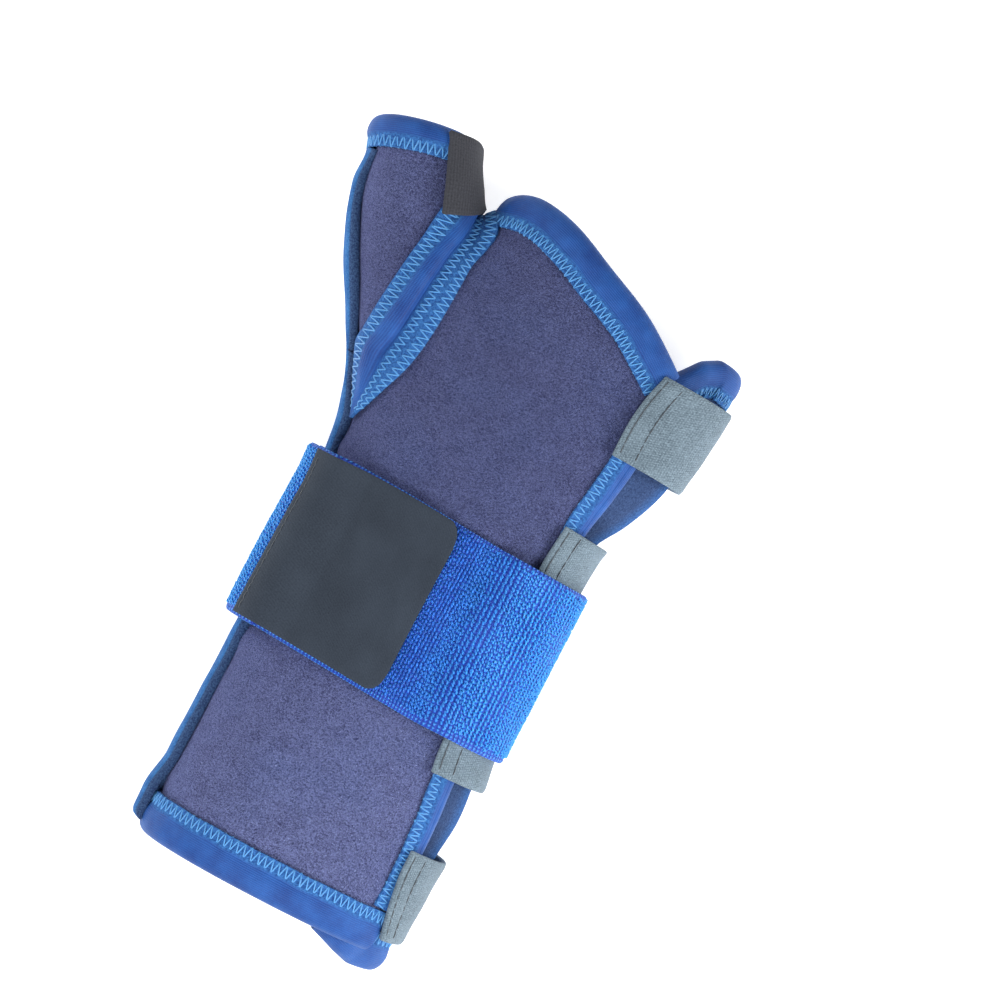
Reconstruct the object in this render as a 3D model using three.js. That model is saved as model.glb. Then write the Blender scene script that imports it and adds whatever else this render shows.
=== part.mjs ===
import * as THREE from 'three';

// Right-sided thumb spica splint, lying on its palmar panel. X runs across it to the closure tabs,
// Y along it to the thumb tube's mouth, Z up to the dorsal panel. Lengths are in millimetres.

// Driving sizes
const SPLINT_LENGTH = 209.5;
const FOREARM_WIDTH = 74.4;
const FOREARM_HEIGHT = 50;
const THUMB_WIDTH = 30;
const THUMB_HEIGHT = 30;
const THUMB_LEAN = THREE.MathUtils.degToRad(28);
const PANEL = 3;
const BINDING = 0.75;
const GAP = 0.45;
const GUSSET = 1;
const GUSSET_GAP = 0.9;
const TAB = 1.5;
const TAB_WIDTH = 25;
const STRAP = 1.65;
const STRAP_WIDTH = 50.5;
const HOOK_TAB = 1.3;
const STRIP = 2.1;
const THUMB_STRAP = 1.4;
const THUMB_STRAP_WIDTH = 23.5;
const BINDING_LEAF = 8.6;
const EDGE_LEAF = 5.6;

// Softness of the joins between the forms
const ROUNDNESS = 2.25;
const WEB_BLEND = 12;
const FLAT_BLEND = 2;

// Levels above the panels' outer face
const BINDING_TOP = GAP + BINDING;
const STRIP_TOP = GAP + STRIP;
const OVER_BINDING = BINDING_TOP + GAP;
const GUSSET_TOP = GUSSET_GAP + GUSSET;
const OVER_GUSSET = GUSSET_TOP + GAP;
const TAB_TOP = OVER_BINDING + TAB;
const OVER_TAB = TAB_TOP + GAP;
const STRAP_TOP = GAP + STRAP;
const TONGUE_DROP = PANEL + 2 * BINDING_TOP + GAP;

// Numerical steps of the surface search
const MARCH = 1.5;
const HALVINGS = 22;
const SLOPE_STEP = 0.04;
const WALK_STEP = 2.5;
const TURN = 2 * Math.PI;

function table(names, ...rows) {
  const places = rows.map((row) => row[0]);
  const values = rows.flatMap((row) => row.slice(1));
  const width = names.length - 1;
  const curve = new THREE.CubicInterpolant(places, values, width, new Array(width));
  return (at) => Object.fromEntries(
    Array.from(curve.evaluate(at), (value, index) => [names[index + 1], value]));
}

function stepped(...rows) {
  const curve = new THREE.LinearInterpolant(rows.map((row) => row[0]), rows.map((row) => row[1]), 1);
  return (at) => curve.evaluate(at)[0];
}

// The main tube: shares of SPLINT_LENGTH, then of FOREARM_WIDTH and FOREARM_HEIGHT
const TUBE = table(
  ['along', 'left', 'right', 'top', 'bottom'],
  [-0.453, -0.457, 0.505, 1.004, -0.052],
  [-0.396, -0.458, 0.513, 1, -0.052],
  [-0.315, -0.462, 0.517, 0.988, -0.052],
  [-0.258, -0.464, 0.524, 0.978, -0.052],
  [-0.21, -0.464, 0.535, 0.968, -0.052],
  [-0.162, -0.462, 0.523, 0.956, -0.052],
  [-0.115, -0.464, 0.501, 0.936, -0.05],
  [-0.038, -0.468, 0.496, 0.912, -0.048],
  [0.072, -0.465, 0.493, 0.892, -0.048],
  [0.134, -0.46, 0.493, 0.878, -0.048],
  [0.181, -0.454, 0.507, 0.866, -0.048],
  [0.22, -0.446, 0.57, 0.852, -0.048],
  [0.277, -0.433, 0.634, 0.824, -0.044],
  [0.344, -0.419, 0.659, 0.796, -0.042],
  [0.411, -0.403, 0.677, 0.768, -0.04],
  [0.463, -0.376, 0.685, 0.742, -0.036],
  [0.506, -0.349, 0.683, 0.722, -0.034],
  [0.563, -0.325, 0.675, 0.7, -0.032],
);

// The thumb along its own leaning axis: shares of SPLINT_LENGTH, THUMB_WIDTH and THUMB_HEIGHT
const THUMB = table(
  ['along', 'left', 'right', 'top', 'bottom'],
  [-0.038, 0.067, 0.1, 0.7, 0.667],
  [0.024, -0.133, 0.267, 1, 0.333],
  [0.105, -0.3, 0.433, 1.2, 0.18],
  [0.191, -0.383, 0.517, 1.233, 0.16],
  [0.286, -0.4, 0.543, 1.213, 0.16],
  [0.382, -0.417, 0.553, 1.18, 0.16],
  [0.453, -0.433, 0.557, 1.153, 0.16],
  [0.492, -0.413, 0.573, 1.133, 0.16],
  [0.53, -0.367, 0.593, 1.107, 0.16],
  [0.568, -0.307, 0.613, 1.08, 0.16],
  [0.611, -0.263, 0.623, 1.06, 0.16],
  [0.668, -0.247, 0.623, 1.053, 0.16],
);

// Edges seen from above: along as a share of SPLINT_LENGTH, across of FOREARM_WIDTH
const DORSAL_EDGE = table(
  ['along', 'across'],
  [-0.401, 0.446],
  [-0.286, 0.449],
  [-0.215, 0.44],
  [-0.162, 0.427],
  [-0.048, 0.425],
  [0.095, 0.425],
  [0.191, 0.427],
  [0.239, 0.449],
  [0.291, 0.468],
  [0.358, 0.476],
  [0.43, 0.457],
);
const GUSSET_RIGHT = table(
  ['along', 'across'],
  [0.179, -0.46],
  [0.211, -0.431],
  [0.239, -0.405],
  [0.266, -0.38],
  [0.296, -0.364],
  [0.334, -0.356],
  [0.382, -0.353],
  [0.45, -0.345],
  [0.482, -0.34],
  [0.516, -0.34],
);
const GUSSET_LEFT = table(
  ['along', 'across'],
  [0.179, -0.469],
  [0.205, -0.496],
  [0.234, -0.54],
  [0.26, -0.577],
  [0.293, -0.579],
  [0.348, -0.573],
  [0.416, -0.556],
  [0.467, -0.528],
  [0.516, -0.511],
);
const STRIP_EDGE = table(
  ['along', 'across'],
  [-0.401, -0.445],
  [-0.134, -0.446],
  [0.095, -0.452],
  [0.143, -0.461],
  [0.181, -0.472],
  [0.205, -0.5],
  [0.239, -0.549],
  [0.286, -0.606],
  [0.334, -0.671],
  [0.382, -0.743],
  [0.43, -0.806],
  [0.477, -0.836],
  [0.525, -0.841],
);

// The back panel's far edge: across as a share of FOREARM_WIDTH, along of SPLINT_LENGTH
const DISTAL_EDGE = table(
  ['across', 'along'],
  [-0.349, 0.513],
  [-0.329, 0.518],
  [-0.296, 0.5225],
  [-0.25, 0.5245],
  [-0.116, 0.516],
  [0.077, 0.487],
  [0.269, 0.456],
  [0.403, 0.425],
  [0.484, 0.404],
);

// Edges round the main tube, by angle from the closure side: shares of SPLINT_LENGTH
const PROXIMAL_END = -0.385;
const MOUTH_EDGE = stepped(
  [0, PROXIMAL_END],
  [270, -0.39],
  [320, -0.395],
  [345, -0.413],
  [372, -0.416],
  [390, -0.407],
  [412, -0.39],
  [440, -0.385],
);
const KNUCKLE_EDGE = stepped(
  [180, 0.49],
  [205, 0.47],
  [235, 0.447],
  [270, 0.437],
  [330, 0.439],
  [355, 0.447],
  [370, 0.449],
  [383, 0.442],
  [395, 0.424],
  [412, 0.41],
);
const PALMAR_SEAM = stepped(
  [0.12, 184],
  [0.19, 198],
  [0.275, 208],
  [0.33, 204],
  [0.387, 199],
  [0.422, 194.5],
  [0.45, 189],
  [0.47, 185.5],
  [0.49, 184],
);

const THUMB_START = -0.02;

const degrees = THREE.MathUtils.degToRad;
const UP = new THREE.Vector3(0, 0, 1);
const THUMB_ACROSS = new THREE.Vector3(Math.cos(THUMB_LEAN), Math.sin(THUMB_LEAN), 0);
const THUMB_ALONG = new THREE.Vector3(-Math.sin(THUMB_LEAN), Math.cos(THUMB_LEAN), 0);

// Where the strap crosses, the splint stands one strap thickness clear of the surface
const FLAT_LEVEL = stepped(
  [-0.2, BINDING_TOP],
  [-0.14, STRAP_TOP],
  [0.15, STRAP_TOP],
  [0.21, BINDING_TOP],
);

function tubeSection(y) {
  const share = TUBE(y / SPLINT_LENGTH);
  const half = (share.right - share.left) * FOREARM_WIDTH / 2;
  const rise = (share.top - share.bottom) * FOREARM_HEIGHT / 2;
  return {
    across: (share.right + share.left) * FOREARM_WIDTH / 2,
    level: (share.top + share.bottom) * FOREARM_HEIGHT / 2,
    half,
    rise,
  };
}

function thumbSection(s) {
  const share = THUMB(s / SPLINT_LENGTH);
  const half = (share.right - share.left) * THUMB_WIDTH / 2;
  const rise = (share.top - share.bottom) * THUMB_HEIGHT / 2;
  return {
    across: (share.right + share.left) * THUMB_WIDTH / 2,
    level: (share.top + share.bottom) * THUMB_HEIGHT / 2,
    half,
    rise,
  };
}

// Distance outside a rounded section, measured along the ray from its middle
function outside(section, across, z) {
  const dx = Math.abs(across - section.across);
  const dz = Math.abs(z - section.level);
  const reach = Math.hypot(dx, dz);
  const share = Math.pow(
    Math.pow(dx / section.half, ROUNDNESS) + Math.pow(dz / section.rise, ROUNDNESS), 1 / ROUNDNESS);
  return share < SLOPE_STEP ? -Math.min(section.half, section.rise) : reach - reach / share;
}

function softly(a, b, width) {
  const near = Math.max(width - Math.abs(a - b), 0) / width;
  return near * near * width / 4;
}

function tubeField(p) {
  return outside(tubeSection(p.y), p.x, p.z);
}

function thumbField(p) {
  const s = p.dot(THUMB_ALONG);
  const short = Math.max(THUMB_START * SPLINT_LENGTH - s, 0);
  return outside(thumbSection(s), p.dot(THUMB_ACROSS), p.z) + short;
}

// Below zero inside the panels' outer face, above zero outside it
function field(p) {
  const tube = tubeField(p);
  const thumb = thumbField(p);
  const whole = Math.min(tube, thumb) - softly(tube, thumb, WEB_BLEND);
  const floor = FLAT_LEVEL(p.y / SPLINT_LENGTH) - p.z;
  return Math.max(whole, floor) + softly(whole, floor, FLAT_BLEND);
}

function slope(p) {
  const steps = ['x', 'y', 'z'].map((axis) => {
    const ahead = p.clone();
    const behind = p.clone();
    ahead[axis] += SLOPE_STEP;
    behind[axis] -= SLOPE_STEP;
    return (field(ahead) - field(behind)) / (2 * SLOPE_STEP);
  });
  return new THREE.Vector3(...steps);
}

function normalAt(p) {
  return slope(p).normalize();
}

function exitFrom(start, direction) {
  let near = 0;
  while (field(start.clone().addScaledVector(direction, near + MARCH)) < 0) {
    near += MARCH;
  }
  let far = near + MARCH;
  for (let turn = 0; turn < HALVINGS; turn += 1) {
    const middle = (near + far) / 2;
    if (field(start.clone().addScaledVector(direction, middle)) < 0) {
      near = middle;
    } else {
      far = middle;
    }
  }
  return start.clone().addScaledVector(direction, near);
}

function settle(p) {
  const point = p.clone();
  for (let turn = 0; turn < 4; turn += 1) {
    const gradient = slope(point);
    point.addScaledVector(gradient, -field(point) / gradient.lengthSq());
  }
  return point;
}

function onTube(y, angle) {
  const section = tubeSection(y);
  const start = new THREE.Vector3(section.across, y, section.level);
  return exitFrom(start, new THREE.Vector3(Math.cos(angle), 0, Math.sin(angle)));
}

function onThumb(s, angle) {
  const section = thumbSection(s);
  const start = THUMB_ALONG.clone().multiplyScalar(s);
  start.addScaledVector(THUMB_ACROSS, section.across);
  start.z = section.level;
  const direction = THUMB_ACROSS.clone().multiplyScalar(Math.cos(angle));
  direction.addScaledVector(UP, Math.sin(angle));
  return exitFrom(start, direction);
}

function fromAbove(x, y) {
  return exitFrom(new THREE.Vector3(x, y, tubeSection(y).level), UP);
}

// The outermost point on the thumb side at one height
function fromThumbSide(y, z) {
  const start = new THREE.Vector3(-2 * FOREARM_WIDTH, y, z);
  while (field(start) > 0) {
    start.x += MARCH;
  }
  return exitFrom(start, new THREE.Vector3(-1, 0, 0));
}

function tubeAngle(p) {
  const section = tubeSection(p.y);
  return Math.atan2(p.z - section.level, p.x - section.across);
}

function thumbAngle(p) {
  const section = thumbSection(p.dot(THUMB_ALONG));
  return Math.atan2(p.z - section.level, p.dot(THUMB_ACROSS) - section.across);
}

function planX(edge, y) {
  return edge(y / SPLINT_LENGTH).across * FOREARM_WIDTH;
}

// The angle at which the thumb's section meets an edge drawn from above
function thumbAngleOf(edge, s) {
  let low = -THUMB_WIDTH;
  let high = THUMB_WIDTH;
  for (let turn = 0; turn < HALVINGS; turn += 1) {
    const middle = (low + high) / 2;
    const p = THUMB_ALONG.clone().multiplyScalar(s).addScaledVector(THUMB_ACROSS, middle);
    if (p.x < planX(edge, p.y)) {
      low = middle;
    } else {
      high = middle;
    }
  }
  const p = THUMB_ALONG.clone().multiplyScalar(s).addScaledVector(THUMB_ACROSS, low);
  const angle = thumbAngle(fromAbove(p.x, p.y));
  return angle < -Math.PI / 2 ? angle + TURN : angle;
}

function walk(start, direction, distance) {
  const count = Math.max(Math.ceil(Math.abs(distance) / WALK_STEP), 1);
  let point = start.clone();
  const heading = direction.clone();
  for (let step = 0; step < count; step += 1) {
    point = settle(point.addScaledVector(heading, distance / count));
    const up = normalAt(point);
    heading.addScaledVector(up, -heading.dot(up)).normalize();
  }
  return point;
}

function lifted(p, height) {
  return p.clone().addScaledVector(normalAt(p), height);
}

const mix = THREE.MathUtils.lerp;

function spread(count, make) {
  return Array.from({ length: count + 1 }, (unused, index) => make(index / count, index));
}

function facesOut(rows) {
  const [a, b, c] = [rows[0][0], rows[1][0], rows[1][1]];
  const normal = b.outer.clone().sub(a.outer).cross(c.outer.clone().sub(a.outer));
  return normal.dot(a.outer.clone().sub(a.inner)) > 0;
}

// A closed sheet from patches of outer and inner points; patches with common points are sewn there
function sheetMesh(...patches) {
  const corners = new Map();
  const positions = [];
  const index = [];
  const edges = new Map();
  const cornerOf = (pair) => {
    const key = pair.outer.toArray().map((value) => value.toFixed(3)).join();
    if (!corners.has(key)) {
      corners.set(key, positions.length);
      positions.push(pair.outer, pair.inner);
    }
    return corners.get(key);
  };
  const addEdge = (from, to) => {
    const key = Math.min(from, to) + ':' + Math.max(from, to);
    edges.set(key, edges.has(key) ? null : { from, to });
  };
  const addCell = (a, b, c, d) => {
    index.push(a, b, c, a, c, d, a + 1, c + 1, b + 1, a + 1, d + 1, c + 1);
    [[a, b], [b, c], [c, d], [d, a]].forEach(([from, to]) => addEdge(from, to));
  };
  patches.forEach((rows) => {
    const kept = facesOut(rows);
    for (let row = 0; row < rows.length - 1; row += 1) {
      for (let column = 0; column < rows[0].length - 1; column += 1) {
        const cell = [rows[row][column], rows[row + 1][column], rows[row + 1][column + 1],
          rows[row][column + 1]].map(cornerOf);
        addCell(...(kept ? cell : cell.reverse()));
      }
    }
  });
  [...edges.values()].filter(Boolean).forEach(({ from, to }) => {
    index.push(to, from, from + 1, to, from + 1, to + 1);
  });
  return { positions, index };
}

function toGeometry(mesh) {
  const geometry = new THREE.BufferGeometry().setFromPoints(mesh.positions);
  geometry.setIndex(mesh.index);
  return geometry;
}

function between(p, outer, inner) {
  return { outer: lifted(p, outer), inner: lifted(p, inner) };
}

// A folded binding: outer leaf, fold round the panel's edge and inner leaf
function bindingProfile(leaf) {
  const radius = PANEL / 2 + BINDING_TOP;
  const fold = spread(4, (turn) => {
    const angle = Math.PI / 2 + Math.PI * turn;
    return { u: radius * Math.cos(angle), w: -PANEL / 2 + radius * Math.sin(angle), angle };
  });
  const inside = radius - BINDING;
  const stations = fold.map(({ u, w, angle }) => ({
    u,
    w,
    inU: inside * Math.cos(angle),
    inW: -PANEL / 2 + inside * Math.sin(angle),
  }));
  const upper = (u) => ({ u, w: BINDING_TOP, inU: u, inW: GAP });
  const lower = (u) => ({ u, w: -PANEL - BINDING_TOP, inU: u, inW: -PANEL - GAP });
  return [upper(leaf), upper(leaf / 2), ...stations, lower(leaf)];
}

function bindingMesh(path, leaf, side, drop = () => 0) {
  const profile = bindingProfile(leaf);
  const rows = path.map((point, index) => {
    const last = path.length - 1;
    const ring = path[0].distanceTo(path[last]) < GAP;
    const ahead = path[index < last ? index + 1 : (ring ? 1 : last)];
    const behind = path[index > 0 ? index - 1 : (ring ? last - 1 : 0)];
    const along = ahead.clone().sub(behind).normalize();
    const inward = normalAt(point).cross(along).multiplyScalar(side).normalize();
    const lower = drop(index);
    return profile.map((spot) => ({
      outer: lifted(walk(point, inward, spot.u), spot.w + lower),
      inner: lifted(walk(point, inward, spot.inU), spot.inW + lower),
    }));
  });
  return sheetMesh(rows);
}

// Angles of the panels' edges
function dorsalEdgeAngle(y) {
  return tubeAngle(fromAbove(planX(DORSAL_EDGE, y), y));
}

// How far a panel runs on under the strip or the gusset
const UNDER_STRIP = degrees(5);
const UNDER_GUSSET = 2;
const GUSSET_REACH = 5;

function dorsalThumbSideAngle(y) {
  if (y < 0.179 * SPLINT_LENGTH) {
    return tubeAngle(fromAbove(planX(STRIP_EDGE, y), y)) + UNDER_STRIP;
  }
  return tubeAngle(fromAbove(planX(GUSSET_RIGHT, y) - UNDER_GUSSET, y));
}

function dorsalPoint(y, share) {
  return onTube(y, mix(dorsalEdgeAngle(y), dorsalThumbSideAngle(y), share));
}

function dorsalColumn(share) {
  let end = SPLINT_LENGTH / 2;
  for (let turn = 0; turn < 8; turn += 1) {
    end = DISTAL_EDGE(dorsalPoint(end, share).x / FOREARM_WIDTH).along * SPLINT_LENGTH;
  }
  return end;
}

// Shares of the way across the back, from the free edge to the thumb side
const DORSAL_SHARES = [
  0, 0.05, 0.11, 0.18, 0.25, 0.32, 0.39, 0.46, 0.53, 0.6, 0.67, 0.74, 0.8, 0.85, 0.89, 0.92, 0.96, 1,
];

function dorsalPanel() {
  const columns = DORSAL_SHARES.map((share) => ({ share, end: dorsalColumn(share) }));
  const lengths = [0, 0.1, 0.2, 0.3, 0.4, 0.49, 0.57, 0.63, 0.69, 0.75, 0.81, 0.87, 0.93, 0.97, 1];
  const rows = lengths.map((length) => columns.map(({ share, end }) => {
    const y = mix(PROXIMAL_END * SPLINT_LENGTH, end, length);
    return between(dorsalPoint(y, share), 0, -PANEL);
  }));
  return sheetMesh(rows);
}

// How far the palm panel sinks to run under the back panel's free edge
function tongueDrop(angle) {
  return -TONGUE_DROP * THREE.MathUtils.smoothstep(angle, TURN - degrees(8), TURN + degrees(18));
}

const SEAM = 181;
const PALM_TURNS = [
  SEAM, 189, 197, 205, 213, 220, 227, 235, 245, 257, 270, 283, 294, 303, 311, 318, 325, 333, 342,
  350, 355, 360, 365, 370, 375, 380, 387, 395, 403, 410,
];

function seamTurn(y) {
  return y < 0.12 * SPLINT_LENGTH ? SEAM : PALMAR_SEAM(y / SPLINT_LENGTH);
}

// Turns near the thumb side follow the seam; the rest stay where they are
function palmAngle(y, turn) {
  const share = THREE.MathUtils.clamp((270 - turn) / (270 - SEAM), 0, 1);
  return degrees(turn + (seamTurn(y) - SEAM) * share);
}

function edgeAlong(edge, angle) {
  return edge(THREE.MathUtils.radToDeg(angle)) * SPLINT_LENGTH;
}

function palmarColumn(turn) {
  let end = SPLINT_LENGTH / 2;
  for (let again = 0; again < 6; again += 1) {
    end = edgeAlong(KNUCKLE_EDGE, palmAngle(end, turn));
  }
  return { turn, start: edgeAlong(MOUTH_EDGE, degrees(turn)), end };
}

const PALM_LENGTHS = [0, 0.1, 0.2, 0.3, 0.4, 0.5, 0.58, 0.64, 0.7, 0.77, 0.84, 0.9, 0.94, 0.97, 1];
const FIRST_THUMB_ROW = 6;
const WEB_ROWS = 3;

function palmarPair(p, angle) {
  const drop = tongueDrop(angle);
  return between(p, drop, drop - PANEL);
}

function palmarRows() {
  const columns = PALM_TURNS.map(palmarColumn);
  return PALM_LENGTHS.map((length, row) => columns.map(({ turn, start, end }, column) => {
    const y = mix(start, end, length);
    const angle = palmAngle(y, turn);
    const onSeam = column === 0 && row >= PALM_LENGTHS.length - 1 - WEB_ROWS && row < PALM_LENGTHS.length - 1;
    return palmarPair(onSeam ? webPointAlong(y) : onTube(y, angle), angle);
  }));
}

function thumbMouth(angle) {
  return SPLINT_LENGTH * (0.592 - 0.016 * Math.cos(angle) + 0.009 * Math.sin(angle));
}

function thumbSeamAngle(s) {
  return Math.PI + degrees(mix(6, 0, THREE.MathUtils.smoothstep(s, 60, 120)));
}

// The lower half of the thumb tube, sewn to the palmar panel along the line between them
function palmarThumbRows(palm) {
  const seam = palm.slice(FIRST_THUMB_ROW, -1).map((row) => row[0]);
  const columns = 13;
  const attached = seam.map((pair) => {
    const s = pair.outer.dot(THUMB_ALONG);
    const angle = thumbAngle(pair.outer);
    const rest = spread(columns, (share) => {
      const turned = mix(angle, thumbSeamAngle(s) - TURN, share);
      return share > 0 ? between(onThumb(s, turned), 0, -PANEL) : pair;
    });
    return rest;
  });
  const web = webPoint(0).dot(THUMB_ALONG);
  const free = [[0.03, -19], [0.12, -12], [0.25, -7], [0.5, -5], [0.75, -5], [1, -5]];
  const clear = free.map(([length, turn]) => spread(columns, (share) => {
    const angle = mix(degrees(turn), thumbSeamAngle(mix(web, thumbMouth(Math.PI), length)) - TURN, share);
    return between(onThumb(mix(web, thumbMouth(angle), length), angle), 0, -PANEL);
  }));
  return [...attached, ...clear];
}

function palmarPanel() {
  const palm = palmarRows();
  return sheetMesh(palm, palmarThumbRows(palm));
}

function thumbInnerAngle(s) {
  const web = webPoint(0).dot(THUMB_ALONG);
  const free = THREE.MathUtils.smoothstep(s, web, web + 2 * GUSSET_REACH);
  return mix(thumbAngleOf(GUSSET_LEFT, s) - degrees(9), degrees(4), free);
}

function thumbPanelAngle(s, share) {
  const outer = Math.min(thumbAngleOf(STRIP_EDGE, s) + UNDER_STRIP, thumbSeamAngle(s) - degrees(11));
  return mix(thumbInnerAngle(s), outer, share);
}

function thumbPanelTop(share) {
  let top = thumbMouth(Math.PI / 2);
  for (let again = 0; again < 5; again += 1) {
    top = thumbMouth(thumbPanelAngle(top, share));
  }
  return top;
}

function thumbPanel() {
  const base = 0.326 * SPLINT_LENGTH;
  const columns = spread(12, (share) => ({ share, top: thumbPanelTop(share) }));
  const lengths = [0, 0.13, 0.26, 0.38, 0.48, 0.56, 0.63, 0.7, 0.79, 0.89, 1];
  const rows = lengths.map((length) => columns.map(({ share, top }) => {
    const s = mix(base, top, length);
    return between(onThumb(s, thumbPanelAngle(s, share)), 0, -PANEL);
  }));
  return sheetMesh(rows);
}

// The line between main tube and thumb tube, found at a turn from straight up to the web and below it
function webPoint(turn) {
  const middle = 0.375 * SPLINT_LENGTH;
  const level = 0.4 * FOREARM_HEIGHT;
  const at = (reach) => {
    const y = middle + reach * Math.cos(turn);
    const z = level + reach * Math.sin(turn);
    let low = -FOREARM_WIDTH;
    let high = 0;
    for (let step = 0; step < HALVINGS; step += 1) {
      const x = (low + high) / 2;
      const p = new THREE.Vector3(x, y, z);
      if (thumbField(p) < tubeField(p)) {
        low = x;
      } else {
        high = x;
      }
    }
    return new THREE.Vector3(low, y, z);
  };
  let near = 0;
  let far = FOREARM_WIDTH;
  for (let step = 0; step < HALVINGS; step += 1) {
    const reach = (near + far) / 2;
    if (field(at(reach)) < 0) {
      near = reach;
    } else {
      far = reach;
    }
  }
  return at(near);
}

// The same line below the web, found by its place along the splint
function webPointAlong(y) {
  let low = degrees(-150);
  let high = degrees(-5);
  for (let step = 0; step < HALVINGS; step += 1) {
    const turn = (low + high) / 2;
    if (webPoint(turn).y < y) {
      low = turn;
    } else {
      high = turn;
    }
  }
  return webPoint(low);
}

const GUSSET_COLUMNS = 6;

function gussetRows() {
  const plain = spread(13, (share) => {
    const y = mix(0.182, 0.415, share) * SPLINT_LENGTH;
    const left = Math.max(planX(GUSSET_LEFT, y), planX(STRIP_EDGE, y) + GAP);
    return spread(GUSSET_COLUMNS, (across) => fromAbove(mix(left, planX(GUSSET_RIGHT, y), across), y));
  });
  const turns = [37, 27, 17, 7, -3, -13, -23, -33, -42].map(degrees);
  const middles = turns.map(webPoint);
  const over = middles.map((point, index) => {
    const ahead = middles[Math.min(index + 1, middles.length - 1)];
    const behind = index > 0 ? middles[index - 1] : plain.at(-1)[GUSSET_COLUMNS / 2];
    const along = ahead.clone().sub(behind).normalize();
    const right = along.clone().cross(normalAt(point)).normalize();
    const leftReach = 9.5;
    const rightReach = mix(6.5, 4.5, index / turns.length);
    return spread(GUSSET_COLUMNS, (across) => walk(point, right, mix(-leftReach, rightReach, across)));
  });
  return [...plain, ...over];
}

function thumbGusset() {
  return sheetMesh(gussetRows().map((row) => row.map((p) => between(p, GUSSET_TOP, GUSSET_GAP))));
}

function proximalBinding() {
  const start = THREE.MathUtils.radToDeg(dorsalEdgeAngle(PROXIMAL_END * SPLINT_LENGTH));
  const turns = [...spread(16, (share) => mix(start, SEAM, share)), ...PALM_TURNS.slice(1)];
  const path = turns.map((turn) => onTube(edgeAlong(MOUTH_EDGE, degrees(turn)), degrees(turn)));
  return bindingMesh(path, BINDING_LEAF, -1, (index) => tongueDrop(degrees(turns[index])));
}

function dorsalDistalBinding() {
  const path = DORSAL_SHARES.slice(0, -2).map((share) => dorsalPoint(dorsalColumn(share), share));
  return bindingMesh(path, BINDING_LEAF, 1);
}

function palmarDistalBinding() {
  const columns = PALM_TURNS.slice(2).map(palmarColumn);
  const path = columns.map(({ turn, end }) => onTube(end, palmAngle(end, turn)));
  return bindingMesh(path, BINDING_LEAF - 2 * GAP, 1, (index) => tongueDrop(degrees(columns[index].turn)));
}

function dorsalEdgeBinding() {
  const start = PROXIMAL_END * SPLINT_LENGTH + BINDING_LEAF + GAP;
  const end = dorsalColumn(0) - BINDING_LEAF - 2 * GAP;
  const path = spread(20, (share) => dorsalPoint(mix(start, end, share), 0));
  return bindingMesh(path, EDGE_LEAF, 1);
}

function thumbTopBinding() {
  const path = spread(28, (share) => onThumb(thumbMouth(share * TURN), share * TURN));
  return bindingMesh(path, BINDING_LEAF, 1);
}

function thumbEdgeBinding() {
  const start = -0.385 * SPLINT_LENGTH;
  const end = 0.473 * SPLINT_LENGTH;
  const rows = spread(26, (share) => {
    const y = mix(start, end, share);
    const top = fromAbove(planX(STRIP_EDGE, y), y).z;
    const low = mix(0.46, 0.3, THREE.MathUtils.smoothstep(share, 0.5, 0.9)) * FOREARM_HEIGHT;
    const under = share < 0.09 ? OVER_BINDING : GAP;
    return spread(4, (across) => between(fromThumbSide(y, mix(top, low, across)), STRIP_TOP + GAP, under));
  });
  return sheetMesh(rows);
}

const TAB_END = degrees(-22);

// Tabs: the middle of each along the splint, then where its sewn edge starts at both corners
const TABS = {
  closure_tab_1: { along: 0.3505, finger: 0.425, elbow: 0.388 },
  closure_tab_2: { along: 0.129, finger: 0.359, elbow: 0.359 },
  closure_tab_3: { along: -0.1026, finger: 0.336, elbow: 0.345 },
  closure_tab_4: { along: -0.318, finger: 0.409, elbow: 0.452 },
};

function closureTab({ along, finger, elbow }) {
  const rows = spread(3, (down) => {
    const y = along * SPLINT_LENGTH + TAB_WIDTH * (0.5 - down);
    const start = tubeAngle(fromAbove(mix(finger, elbow, down) * FOREARM_WIDTH, y));
    return spread(10, (share) => between(onTube(y, mix(start, TAB_END, share)), TAB_TOP, OVER_BINDING));
  });
  return sheetMesh(rows);
}

// The strap's inner level above the panels, by the turn it has made round the splint
const OVER_STRIP = STRIP_TOP + 2 * GAP;
const SECOND_LAYER = STRAP + GAP;
const STRAP_LEVEL = stepped(
  [-198, OVER_STRIP + SECOND_LAYER],
  [-164, OVER_STRIP + SECOND_LAYER],
  [-156, GAP + SECOND_LAYER],
  [-145, GAP],
  [-36, GAP],
  [-27, OVER_TAB],
  [45, OVER_TAB],
  [57, GAP],
  [150, GAP],
  [161, OVER_STRIP],
  [194, OVER_STRIP],
  [203, GAP],
);

const STRAP_ALONG = 0.0075;

function strapPoint(turn, share) {
  const tilt = -0.02 * FOREARM_WIDTH * Math.cos(turn);
  const y = STRAP_ALONG * SPLINT_LENGTH + tilt + STRAP_WIDTH * (share - 0.5);
  return onTube(y, turn);
}

const STRAP_TURNS = [
  203, 198, 194, 187, 180, 173, 167, 161, 155, 150, 142, 134, 126, 118, 110, 102, 94, 86, 78, 70,
  63, 57, 51, 45, 38, 31, 24, 17, 10, 3, -4, -11, -17, -22, -27, -31.5, -36, -42, -49, -57,
  -66, -76, -86, -96, -106, -116, -125, -134, -140, -145, -151, -156, -160, -164, -170, -176, -182,
  -188, -193, -198,
];

function wristStrap() {
  const rows = STRAP_TURNS.map((turn) => spread(3, (across) => {
    const level = STRAP_LEVEL(turn);
    return between(strapPoint(degrees(turn), across), level + STRAP, level);
  }));
  return sheetMesh(rows);
}

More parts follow.
